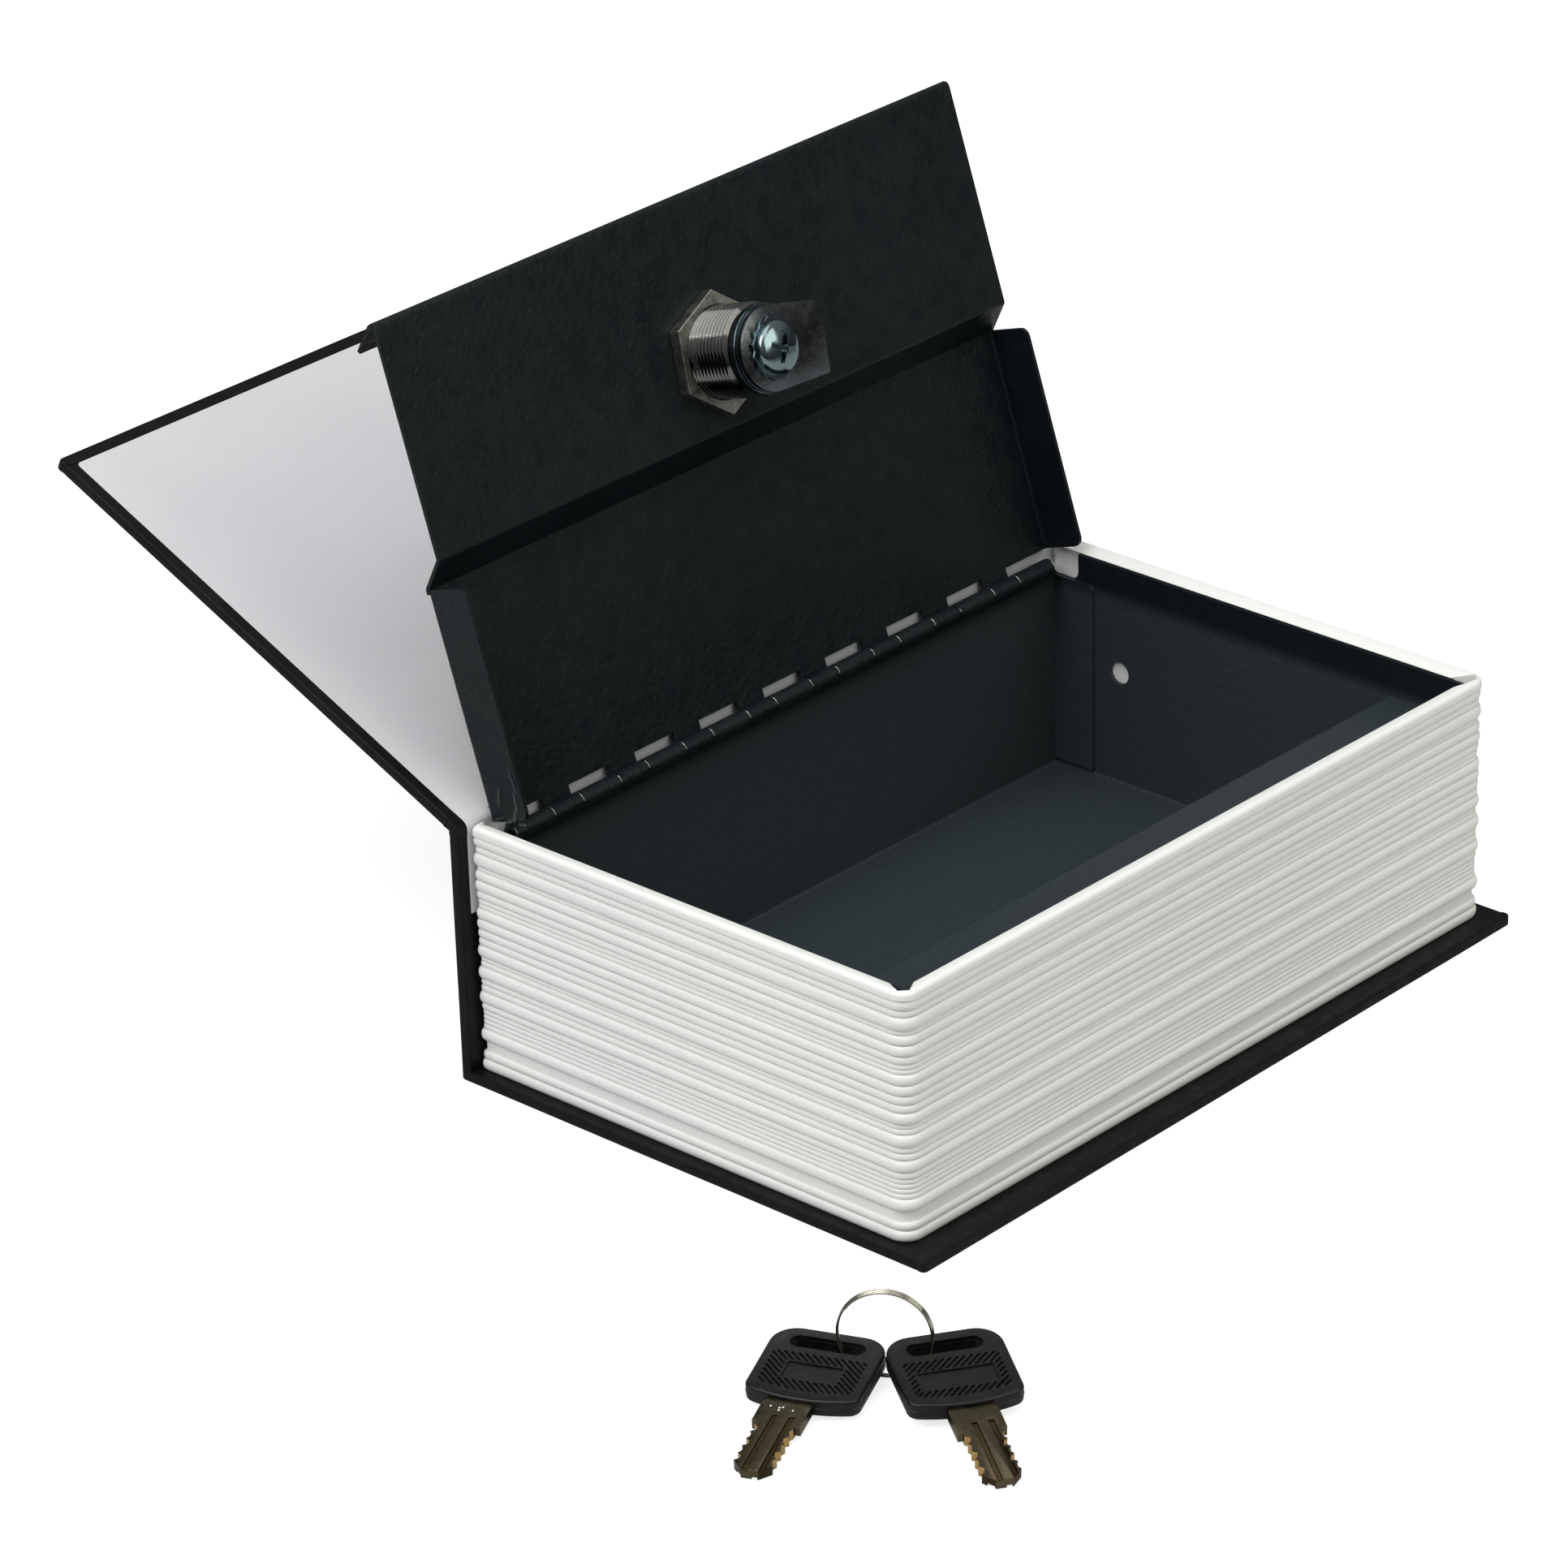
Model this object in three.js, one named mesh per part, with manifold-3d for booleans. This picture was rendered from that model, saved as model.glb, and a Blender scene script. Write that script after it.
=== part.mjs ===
// A book safe: a steel strongbox inside a moulded page block, bound in a cloth-covered hard cover.
// It is modelled open, as it stands on a table, with its two keys on a ring in front of it.
// Units are millimetres and +Z is up. X runs from the spine to the fore-edge, and Y along the spine.
// The origin is the centre of the back cover's underside.

import * as THREE from "three";
import { mergeVertices } from "three/addons/utils/BufferGeometryUtils.js";
import Module from "manifold-3d";

const wasm = await Module();
wasm.setup();

const degrees = Math.PI / 180;
const quarterTurn = Math.PI / 2;

// Clearances
const overrun = 5; // how far a cutting shape runs past the piece that it cuts
const seat = 0.1; // play between two pieces that touch
const glueLine = 0.05; // between a board and what is pasted on it
const runningPlay = 0.1; // round a piece that turns or slides in another

// Page block, one moulded tray whose outer skin looks like leaves
const blockLength = 175;
const blockWidth = 109;
const blockHeight = 52;
const blockFloor = 1.4;
const blockSpineWall = 0.7;
const spineWallDrop = 5.7; // spine wall's top below the rim
const rimWidth = 3.2;
const rimFall = 1.2; // slope of the rim's top towards the inside
const rimCrown = 1; // width of the rim's outer rounding
const foreCornerRadius = 4.5;
const spineCornerRadius = 1.2;
const trayCornerRadius = 0.5;
const reliefWidth = 2.4; // slot in the rim's inner corner
const reliefMouth = 3.8;
const reliefReach = 1.15;
const reliefDepth = 3;
const firstGroove = 1.9; // first groove below the rim
const grooveDepth = 0.75;
const swellShare = 0.27; // how far a leaf swells out of the grooves, for its height
const ribHeights = [
  2.19, 1.43, 2.7, 1.01, 2.02, 2.27, 1.68, 1.1, 1.01, 2.19, 2.19, 1.85, 1.68, 2.36, 1.01, 1.18,
  2.53, 1.35, 1.43, 2.44, 1.52, 1.01, 1.01, 1.01, 1.1, 2.44,
]; // the leaves swell unevenly, from the rim down
const flatBandHeight = 2.4; // smooth recess below those ribs
const footRibHeight = 1.7;

// Hard cover, grey board wrapped in cloth
const endSquare = 2.5; // cover past the block at each end
const foreSquare = 4.2; // cover past the block at the fore-edge
const coverThick = 2.2; // back and front covers with their cloth
const spineThick = 2;
const spineLean = 0.7; // outward lean of the spine at its top
const clothThick = 0.35;
const coverRound = 0.6; // rounding of the cloth-covered edges
const turnIn = 14; // cloth folded in over the board's inner side
const footJoint = 1.5; // cloth between the spine board and the back board
const paperThick = 0.25;
const paperBorder = 1.6; // cloth left bare round the pasted paper
const coverRest = 0.15; // closed cover above the rim
const coverJoint = 1.6; // from the cover's hinge axis to its board
const spineBelowJoint = 0.5; // spine's top below the cover's hinge axis
const spinePaperLength = 18.5; // paper that runs down inside the spine
const jointRound = 0.35; // half thickness of the gathered cloth at the joint
const coverOpen = 156 * degrees;

// Strongbox, folded from sheet
const sheet = 0.8;
const bend = 1; // centreline radius of a bend
const boxEndGap = 0.2; // between the box and the block's rims
const boxSpineGap = 0.35; // between the box and the block's spine wall
const boxFloorGap = 0.2;
const endWallDrop = 1.3; // end walls' top below the rim
const notchLength = 6.55; // notch at the spine end of each end wall
const notchDrop = 7.2; // notch's foot below the rim
const notchRound = 2;
const tabLength = 10.95; // spine wall's end tab, folded along the end wall
const tabDrop = 7; // tab's top below the rim
const tabRound = 1.5;
const endHoleRadius = 2.5;
const endHoleFromSpine = 17.35;
const endHoleHeight = 24.8;
const ledgeWidth = 18.6;
const ledgeGap = 0.7; // closed lid above the ledge

// Piano hinge, rolled from the edges of the box and the lid
const knuckleRadius = 1.85;
const pinRadius = 1;
const pinInset = 1.5; // pin's end inside the first knuckle
const hingeDrop = 4; // hinge axis below the rim
const hingeMargin = 4.75; // from the box's end to its first knuckle
const lidKnuckles = 8;
const boxKnuckleLength = 10.7;
const knuckleGap = 0.2; // between a knuckle of the box and one of the lid
const knuckleRoot = 2.4; // spine wall's top between knuckles, below the axis
const curlSweep = 285 * degrees;
const lidOpen = 108.1 * degrees;

// Lid, folded from sheet
const lidSideGap = 1.3;
const lidForeGap = 0.5;
const lidRoot = 3.5; // lid's lower edge from the hinge axis
const flatLength = 50; // from the hinge axis to the joggle
const joggleRun = 5.6;
const joggleDepth = 5.25;
const lipLength = 8.5;
const lipFold = 135 * degrees;
const lipBend = 0.8;
const flangeDepth = 10.65;
const flangeRound = 1.8;

// Cam lock
const lockFromAxis = 70.7; // lock's centre from the hinge axis
const bezelRadius = 11.75;
const bezelRim = 0.8;
const bezelHeight = 3.6;
const bezelRing = 8.4;
const faceRadius = 7.9;
const faceThick = 1.3;
const barrelRadius = 9.3;
const barrelFlat = 8.95; // half width across the barrel's flats
const barrelLength = 14.4; // behind the lid's outer face
const neckRadius = 8.5;
const neckLength = 0.9;
const plugRadius = 6;
const nutFlats = 21.5;
const nutThick = 2.6;
const nutTurn = 6 * degrees;
const stopRadius = 8.9;
const stopThick = 1.2;
const camThick = 1.6;
const camEndRadius = 8.5;
const camReach = 14.6;
const camWidth = 13.7;
const camTipRound = 2.2;
const camRestTurn = 8 * degrees; // cam past the lid's length, towards the hinge
const camBite = 0.9; // between the locked cam and the catch above it
const tailWidth = 7; // square end of the plug
const toothTipRadius = 6.4;
const toothRootRadius = 5.8;
const toothCount = 16;
const toothedBore = 2.6;
const toothedThick = 0.8;
const screwRadius = 5.6;
const screwDome = 2.1;
const screwEdge = 0.5;
const shankRadius = 2;
const shankLength = 3.2;
const crossLength = 6.4;
const crossWidth = 1.3;
const crossDepth = 1.4;
const keywayLength = 8.2;
const keywayWidth = 1.3;
const keywayJog = 0.55; // sideways step between the keyway's halves
const keywayDepth = 16.5;
const waferCount = 5;
const waferThick = 1;
const waferPitch = 2.5;
const waferStart = 3.2; // first wafer behind the plug's face
const waferWidth = 6.2;
const waferLength = 10;
const waferWindow = 3;
const waferPlay = 0.3; // between the keyway and a wafer's window

// Keys
const headLength = 21.6;
const headSlotEnd = 10.8; // half width at the slot end
const headBladeEnd = 10.7; // half width near the blade
const headRound = 5;
const headBladeRound = 1.6;
const headCrown = 1.9; // outward curve of the edge at the blade
const headThick = 3.3;
const headBevel = 0.5;
const headSlotLength = 14.2;
const headSlotWidth = 3.7;
const headSlotPlace = 4.3; // slot's middle from the head's end
const panelDepth = 0.25;
const panelPlace = 8.2; // panel's middle from the blade
const panelLength = 5;
const panelWidth = 12;
const bladeLength = 21.6;
const bladeWidth = 9;
const bladeShoulder = 7.1;
const bladeThick = 2;
const cutWidth = 7.2; // blade's width between its cuts
const cutDepth = 0.9;
const cutCount = 5;
const cutStart = 8.2;
const tipLength = 2.2;
const tipWidth = 3.2;
const tangLength = 9;
const tangWidth = 8;
const grooveWidth = 1.1;
const bladeGrooveDepth = 0.5;
const grooveStart = 4.6;
const firstGroovePlace = -0.9;
const secondGroovePlace = 2.2;
const ringWire = 0.8;
const ringDiameter = 17.3;
const ringPitch = 1.25;
const ringTurns = 2;
const ringTilt = 90 * degrees; // the ring stands on its rim

// Where the ring and the keys lie on the table, from the origin
const ringPlace = { x: 78.3, y: -122.4, heading: 122.1 * degrees };
const leftKeyPlace = { x: 74.3, y: -143.7, heading: -67.1 * degrees, tilt: 4.2 * degrees };
const rightKeyPlace = { x: 101, y: -125.3, heading: -33.9 * degrees, tilt: 6.3 * degrees };
const leftHeadShift = 1.5; // a moulded head sits off its blade's centreline
const rightHeadShift = -0.2;

// Sizes that follow from the ones above
const halfSheet = sheet / 2;
const coverLength = blockLength + 2 * endSquare;
const coverWidth = spineThick + blockWidth + foreSquare;
const coverEnd = coverLength / 2;
const coverForeX = coverWidth / 2;
const spineX = spineThick - coverForeX; // the block's spine face
const foreX = spineX + blockWidth; // the block's fore-edge
const blockEnd = blockLength / 2;
const blockTop = coverThick + blockHeight;
const trayEnd = blockEnd - rimWidth;
const trayFloor = coverThick + blockFloor;
const boxEnd = trayEnd - boxEndGap;
const boxInnerEnd = boxEnd - sheet;
const boxSpineX = spineX + blockSpineWall + boxSpineGap;
const boxForeX = foreX - rimWidth - boxEndGap;
const boxBottom = trayFloor + boxFloorGap;
const boxFloor = boxBottom + sheet;
const endWallTop = blockTop - endWallDrop;
const hingeX = boxSpineX + knuckleRadius;
const hingeZ = blockTop - hingeDrop;
const hingeHalf = boxEnd - hingeMargin;
const hingePitch = (2 * hingeHalf - boxKnuckleLength) / lidKnuckles;
const lidKnuckleLength = hingePitch - boxKnuckleLength - 2 * knuckleGap;
const curlRadius = knuckleRadius - halfSheet;
const lidEnd = boxInnerEnd - lidSideGap;
const lidLength = boxForeX - hingeX - lidForeGap;
const coverAxisX = spineX - spineThick / 2;
const coverAxisZ = blockTop + coverRest + paperThick;
const coverReach = coverForeX - coverAxisX;
const spineTop = coverAxisZ - spineBelowJoint;

// Heights over the hinge axis with the lid closed
const recessOuter = knuckleRadius - joggleDepth;
const recessInner = recessOuter - sheet;
const bezelTop = recessOuter + bezelHeight;
const plugTop = bezelTop - seat;
const barrelEnd = recessOuter - barrelLength;
const stopTop = barrelEnd - seat;
const camTop = stopTop - stopThick - seat;
const camBottom = camTop - camThick;
const toothedTop = camBottom - seat;
const screwTop = toothedTop - toothedThick - seat;

// Heights over the table
const ledgeTop = hingeZ + recessInner - ledgeGap;
const catchBottom = hingeZ + camTop + camBite;
const ledgeX = boxForeX - ledgeWidth;

// The cuts fill the blade from the first to the tip
const cutPitch = (bladeLength - tipLength - cutStart) / cutCount;

// Materials
function finish(color, roughness, metalness) {
  return new THREE.MeshStandardMaterial({ color, roughness, metalness });
}

const cloth = finish(0x1a1c1d, 0.75, 0);
const greyBoard = finish(0x8d877c, 0.9, 0);
const paper = finish(0xe9ebee, 0.7, 0);
const whitePlastic = finish(0xeef0ee, 0.45, 0);
const powderCoat = finish(0x20282c, 0.5, 0.2);
const nickel = finish(0xb9bcb8, 0.25, 1);
const zincSteel = finish(0x9aa3a8, 0.35, 1);
const brass = finish(0xb08d4a, 0.3, 1);
const darkSteel = finish(0x2b2d2e, 0.4, 0.9);
const keyMetal = finish(0x8a8064, 0.35, 1);
const blackPlastic = finish(0x151617, 0.5, 0);

// Solids
function solidOf(geometry) {
  const bare = geometry.index ? geometry.toNonIndexed() : geometry.clone();
  bare.deleteAttribute("normal");
  bare.deleteAttribute("uv");
  const merged = mergeVertices(bare, glueLine / 500);
  return new wasm.Manifold(
    new wasm.Mesh({
      numProp: 3,
      vertProperties: merged.attributes.position.array,
      triVerts: new Uint32Array(merged.index.array),
    }),
  );
}

function geometryOf(solid) {
  const mesh = solid.getMesh();
  const shared = new THREE.BufferGeometry();
  shared.setAttribute("position", new THREE.BufferAttribute(mesh.vertProperties, 3));
  shared.setIndex(new THREE.BufferAttribute(mesh.triVerts, 1));
  const geometry = shared.toNonIndexed();
  geometry.computeVertexNormals();
  return geometry;
}

function joined(...geometries) {
  return geometryOf(geometries.map(solidOf).reduce((all, one) => all.add(one)));
}

function cut(geometry, ...tools) {
  const solid = tools.map(solidOf).reduce((rest, tool) => rest.subtract(tool), solidOf(geometry));
  return geometryOf(solid);
}

function kept(geometry, keeper) {
  return geometryOf(solidOf(geometry).intersect(solidOf(keeper)));
}

function piece(name, geometry, material) {
  const mesh = new THREE.Mesh(geometry, material);
  mesh.name = name;
  return mesh;
}

function group(...members) {
  const made = new THREE.Group();
  made.add(...members);
  return made;
}

// A box between two corners
function cuboid(x0, x1, y0, y1, z0, z1) {
  const geometry = new THREE.BoxGeometry(x1 - x0, y1 - y0, z1 - z0);
  return geometry.translate((x0 + x1) / 2, (y0 + y1) / 2, (z0 + z1) / 2);
}

// Flat outlines
function pointsAt(...pairs) {
  return pairs.map(([x, y]) => new THREE.Vector2(x, y));
}

function rectangle(x0, x1, y0, y1) {
  return pointsAt([x0, y0], [x1, y0], [x1, y1], [x0, y1]);
}

// The arc that rounds the corner between two neighbours
function cornerArc(before, corner, after, radius, steps) {
  const inward = before.clone().sub(corner).normalize();
  const onward = after.clone().sub(corner).normalize();
  const half = Math.acos(inward.dot(onward)) / 2;
  const centre = inward.clone().add(onward).setLength(radius / Math.sin(half)).add(corner);
  const reach = radius / Math.tan(half);
  const start = corner.clone().addScaledVector(inward, reach).sub(centre);
  const end = corner.clone().addScaledVector(onward, reach).sub(centre);
  const sweep = Math.atan2(start.cross(end), start.dot(end));
  const arc = [];
  for (let i = 0; i <= steps; i++) {
    arc.push(start.clone().rotateAround(new THREE.Vector2(), (sweep * i) / steps).add(centre));
  }
  return arc;
}

// A closed outline with its own radius at each corner, where 0 leaves the corner sharp
function roundedOutline(corners, radii, steps = 4) {
  return corners.flatMap((corner, i) => {
    if (radii[i] === 0) return [corner];
    const before = corners.at(i - 1);
    const after = corners[(i + 1) % corners.length];
    return cornerArc(before, corner, after, radii[i], steps);
  });
}

// An open path moved to its left, with mitred corners
function besidePath(path, distance) {
  const lefts = path.slice(1).map((point, i) => {
    const along = point.clone().sub(path[i]).normalize();
    return new THREE.Vector2(-along.y, along.x);
  });
  return path.map((point, i) => {
    const before = lefts[Math.max(i - 1, 0)];
    const after = lefts[Math.min(i, lefts.length - 1)];
    const mitre = before.clone().add(after).normalize();
    return point.clone().addScaledVector(mitre, distance / mitre.dot(before));
  });
}

// The section of a sheet along a middle line
function sheetAlong(path) {
  return new THREE.Shape([
    ...besidePath(path, halfSheet),
    ...besidePath(path, -halfSheet).reverse(),
  ]);
}

// The same with its corners bent, each to its own radius
function foldedSheet(path, radii, steps = 3) {
  const bent = path.flatMap((point, i) => {
    if (i === 0 || i === path.length - 1) return [point];
    return cornerArc(path[i - 1], point, path[i + 1], radii[i - 1], steps);
  });
  return sheetAlong(bent);
}

// Extrusions
function alongZ(shape, z0, z1) {
  const geometry = new THREE.ExtrudeGeometry(shape, { depth: z1 - z0, bevelEnabled: false });
  return geometry.translate(0, 0, z0);
}

// The shape's own axes become X and height
function alongY(shape, y0, y1) {
  return alongZ(shape, -y1, -y0).rotateX(quarterTurn);
}

// The shape's own axes become Y and height
function alongX(shape, x0, x1) {
  return alongZ(shape, x0, x1).rotateX(quarterTurn).rotateZ(quarterTurn);
}

// A turned solid about Z, from a profile of radii and heights that runs outwards, up and back
function turned(profile, sides) {
  return new THREE.LatheGeometry(pointsAt(...profile), sides).rotateX(quarterTurn);
}

function disc(radius, sides, z0, z1) {
  return turned([[0, z0], [radius, z0], [radius, z1], [0, z1]], sides);
}

// A slab with rounded edges, as cloth-covered board has
function coveredSlab(x0, x1, thickness) {
  const reach = coverEnd - coverRound;
  const outline = rectangle(x0 + coverRound, x1 - coverRound, -reach, reach);
  const geometry = new THREE.ExtrudeGeometry(new THREE.Shape(outline), {
    depth: thickness - 2 * coverRound,
    bevelSize: coverRound,
    bevelThickness: coverRound,
    bevelSegments: 3,
  });
  return geometry.translate(0, 0, coverRound);
}

// A closed skin over rings of equally many points, with a flat face on the first and the last
function skinOver(rings) {
  const count = rings[0].outline.length;
  const corners = rings.flatMap(({ outline, z }) => outline.flatMap(({ x, y }) => [x, y, z]));
  const faces = [];
  for (let level = 1; level < rings.length; level++) {
    for (let i = 0; i < count; i++) {
      const next = (i + 1) % count;
      const [a, b] = [(level - 1) * count + i, (level - 1) * count + next];
      faces.push(a, b, b + count, a, b + count, a + count);
    }
  }
  const last = (rings.length - 1) * count;
  for (const [a, b, c] of THREE.ShapeUtils.triangulateShape(rings[0].outline, [])) {
    faces.push(a, c, b);
  }
  for (const [a, b, c] of THREE.ShapeUtils.triangulateShape(rings.at(-1).outline, [])) {
    faces.push(last + a, last + b, last + c);
  }
  const geometry = new THREE.BufferGeometry();
  geometry.setAttribute("position", new THREE.Float32BufferAttribute(corners, 3));
  geometry.setIndex(faces);
  return geometry;
}

// Page block

// The block's outline at one level. Between the ends of its ribs, the spine wall stays plain.
function leafOutline(inset) {
  const corners = rectangle(spineX + inset, foreX - inset, inset - blockEnd, blockEnd - inset);
  const foreRadius = foreCornerRadius - inset;
  const radii = [spineCornerRadius, foreRadius, foreRadius, spineCornerRadius];
  const wall = pointsAt(
    [spineX + inset, trayEnd],
    [spineX, trayEnd - grooveDepth],
    [spineX, grooveDepth - trayEnd],
    [spineX + inset, -trayEnd],
  );
  return [...roundedOutline(corners, radii), ...wall];
}

// The tray's inside, with as many points as the outside, so that the two join over the rim
function trayOutline() {
  const x = spineX + blockSpineWall;
  const corners = rectangle(x, foreX - rimWidth, -trayEnd, trayEnd);
  const wallStep = trayCornerRadius + grooveDepth;
  const wall = pointsAt(
    [x, trayEnd - wallStep],
    [x, trayEnd - 2 * wallStep],
    [x, 2 * wallStep - trayEnd],
    [x, wallStep - trayEnd],
  );
  return [...roundedOutline(corners, Array(4).fill(trayCornerRadius)), ...wall];
}

// One swollen leaf, from its upper groove down to just above the next
function ribRings(top, height) {
  const quarters = [0, 1, 2, 3];
  const swell = Math.min(swellShare * height, grooveDepth);
  return quarters.map((quarter) => {
    const turn = (Math.PI * quarter) / quarters.length;
    const inset = grooveDepth - swell * Math.sqrt(Math.sin(turn));
    return { z: top - (height * (1 - Math.cos(turn))) / 2, outline: leafOutline(inset) };
  });
}

function ribbedRings() {
  const rings = [];
  let z = blockTop - firstGroove;
  const stack = (height) => {
    rings.push(...ribRings(z, height));
    z -= height;
  };
  ribHeights.forEach(stack);
  rings.push({ z, outline: leafOutline(grooveDepth) });
  z -= flatBandHeight;
  stack(footRibHeight);
  stack(z - coverThick);
  rings.push({ z: coverThick, outline: leafOutline(grooveDepth) });
  return rings.reverse();
}

function rimRings() {
  const steps = 4;
  const rings = [];
  for (let i = 1; i <= steps; i++) {
    const turn = (quarterTurn * i) / steps;
    const inset = rimCrown * (1 - Math.cos(turn));
    rings.push({
      z: blockTop - rimCrown * (1 - Math.sin(turn)),
      outline: leafOutline(inset),
    });
  }
  const shoulder = { z: blockTop - rimCrown, outline: leafOutline(0) };
  return [shoulder, ...rings];
}

// A tapered slot in the rim's inner corner, on its diagonal
function cornerRelief(end) {
  const shape = new THREE.Shape(
    pointsAt(
      [-reliefMouth / 2, -reliefMouth / 2],
      [reliefReach, -reliefWidth / 2],
      [reliefReach, reliefWidth / 2],
      [-reliefMouth / 2, reliefMouth / 2],
    ),
  );
  const tool = alongZ(shape, blockTop - reliefDepth, blockTop + overrun);
  tool.rotateZ((end * quarterTurn) / 2);
  return tool.translate(foreX - rimWidth, end * trayEnd, 0);
}

function pageBlock() {
  const tray = skinOver([
    ...ribbedRings(),
    ...rimRings(),
    { z: blockTop - rimFall, outline: trayOutline() },
    { z: trayFloor, outline: trayOutline() },
  ]);
  const spineSide = cuboid(
    spineX - overrun,
    spineX + blockSpineWall + overrun,
    -trayEnd,
    trayEnd,
    blockTop - spineWallDrop,
    blockTop + overrun,
  );
  const moulded = cut(tray, spineSide, cornerRelief(1), cornerRelief(-1));
  return piece("page_block", moulded, whitePlastic);
}

// Hard cover

// The spine stands on the back cover and leans out. Its pieces are laid flat, then stood up.
function standSpine(geometry) {
  geometry.rotateY(-quarterTurn - Math.atan(spineLean / spineTop));
  return geometry.translate(spineX, 0, 0);
}

const backBoardX = spineX + footJoint;
const spineBoardFoot = coverThick + clothThick;

function coverCloth() {
  const inner = coverEnd - clothThick;
  const open = coverEnd - turnIn;
  const wrapped = joined(
    coveredSlab(-coverForeX, coverForeX, coverThick),
    standSpine(coveredSlab(coverThick / 2, spineTop, spineThick)),
  );
  const backRoom = cuboid(
    backBoardX,
    coverForeX - clothThick,
    -inner,
    inner,
    clothThick,
    coverThick - clothThick,
  );
  const backOpening = cuboid(
    backBoardX + turnIn,
    coverForeX - turnIn,
    -open,
    open,
    coverThick / 2,
    coverThick + overrun,
  );
  const spineRoom = cuboid(
    spineBoardFoot,
    spineTop - clothThick,
    -inner,
    inner,
    clothThick,
    spineThick - clothThick,
  );
  const spineOpening = cuboid(
    spineBoardFoot + turnIn,
    spineTop - turnIn,
    -open,
    open,
    -overrun,
    spineThick / 2,
  );
  const rooms = [backRoom, backOpening, standSpine(spineRoom), standSpine(spineOpening)];
  return piece("cover_cloth", cut(wrapped, ...rooms), cloth);
}

function backBoard() {
  const inner = coverEnd - clothThick - glueLine;
  const board = cuboid(
    backBoardX + glueLine,
    coverForeX - clothThick - glueLine,
    -inner,
    inner,
    clothThick + glueLine,
    coverThick - clothThick - glueLine,
  );
  return piece("back_board", board, greyBoard);
}

function spineBoard() {
  const inner = coverEnd - clothThick - glueLine;
  const board = cuboid(
    spineBoardFoot + glueLine,
    spineTop - clothThick - glueLine,
    -inner,
    inner,
    clothThick + glueLine,
    spineThick - clothThick - glueLine,
  );
  return piece("spine_board", standSpine(board), greyBoard);
}

function backEndpaper() {
  const end = coverEnd - turnIn - glueLine;
  const sheetOfPaper = cuboid(
    backBoardX + turnIn + glueLine,
    coverForeX - turnIn - glueLine,
    -end,
    end,
    coverThick - clothThick,
    coverThick - glueLine,
  );
  return piece("back_endpaper", sheetOfPaper, paper);
}

function spineEndpaper() {
  const end = coverEnd - paperBorder;
  const strip = cuboid(
    spineTop - spinePaperLength,
    spineTop,
    -end,
    end,
    -paperThick - glueLine,
    -glueLine,
  );
  return piece("spine_endpaper", standSpine(strip), paper);
}

// With the cover open, the cloth of the joint gathers into a low ridge on the spine's top.
function jointCloth() {
  const steps = 6;
  const foot = spineTop + seat;
  const outline = [new THREE.Vector2(coverAxisX + jointRound, foot)];
  for (let i = 0; i <= steps; i++) {
    const turn = (Math.PI * i) / steps;
    outline.push(
      new THREE.Vector2(
        coverAxisX + jointRound * Math.cos(turn),
        coverAxisZ + jointRound * Math.sin(turn),
      ),
    );
  }
  outline.push(new THREE.Vector2(coverAxisX - jointRound, foot));
  const ridge = alongY(new THREE.Shape(outline), -coverEnd, coverEnd);
  return piece("joint_cloth", ridge, cloth);
}

// The front cover is laid out closed, from its hinge axis, and then turned open.
function frontCover() {
  const inner = coverEnd - clothThick;
  const open = coverEnd - turnIn;
  const room = cuboid(
    coverJoint + clothThick,
    coverReach - clothThick,
    -inner,
    inner,
    clothThick,
    coverThick - clothThick,
  );
  const opening = cuboid(
    coverJoint + turnIn,
    coverReach - turnIn,
    -open,
    open,
    -overrun,
    coverThick / 2,
  );
  const wrapped = cut(coveredSlab(coverJoint, coverReach, coverThick), room, opening);
  const board = cuboid(
    coverJoint + clothThick + glueLine,
    coverReach - clothThick - glueLine,
    glueLine - inner,
    inner - glueLine,
    clothThick + glueLine,
    coverThick - clothThick - glueLine,
  );
  const paperEnd = coverEnd - paperBorder;
  const pasted = cuboid(
    coverJoint,
    coverReach - paperBorder,
    -paperEnd,
    paperEnd,
    -paperThick - glueLine,
    -glueLine,
  );
  const made = group(
    piece("front_cloth", wrapped, cloth),
    piece("front_board", board, greyBoard),
    piece("front_endpaper", pasted, paper),
  );
  made.position.set(coverAxisX, 0, coverAxisZ);
  made.rotation.y = -coverOpen;
  return made;
}

// Piano hinge

// A knuckle's middle line: along X towards the axis over its top, and then curled under
function curlLine(from) {
  const steps = 14;
  const line = [new THREE.Vector2(from, curlRadius)];
  for (let i = 0; i <= steps; i++) {
    const turn = quarterTurn + (curlSweep * i) / steps;
    line.push(new THREE.Vector2(curlRadius * Math.cos(turn), curlRadius * Math.sin(turn)));
  }
  return line;
}

// The box's knuckles grow from its spine wall, so their line stands on end.
function boxCurlLine() {
  const line = curlLine(knuckleRoot + sheet);
  return line.map(({ x, y }) => new THREE.Vector2(hingeX - y, hingeZ - x));
}

function boxKnuckles() {
  const section = sheetAlong(boxCurlLine());
  return Array.from({ length: lidKnuckles + 1 }, (_, i) => {
    const start = i * hingePitch - hingeHalf;
    return alongY(section, start, start + boxKnuckleLength);
  });
}

function lidKnuckleRow() {
  const section = sheetAlong(curlLine(lidRoot + sheet));
  return Array.from({ length: lidKnuckles }, (_, i) => {
    const middle = (i + (1 - lidKnuckles) / 2) * hingePitch;
    return alongY(section, middle - lidKnuckleLength / 2, middle + lidKnuckleLength / 2);
  });
}

function hingePin() {
  const reach = hingeHalf - pinInset;
  const pin = disc(pinRadius, 16, -reach, reach).rotateX(quarterTurn);
  return piece("hinge_pin", pin.translate(hingeX, 0, hingeZ), darkSteel);
}

// Strongbox

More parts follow.
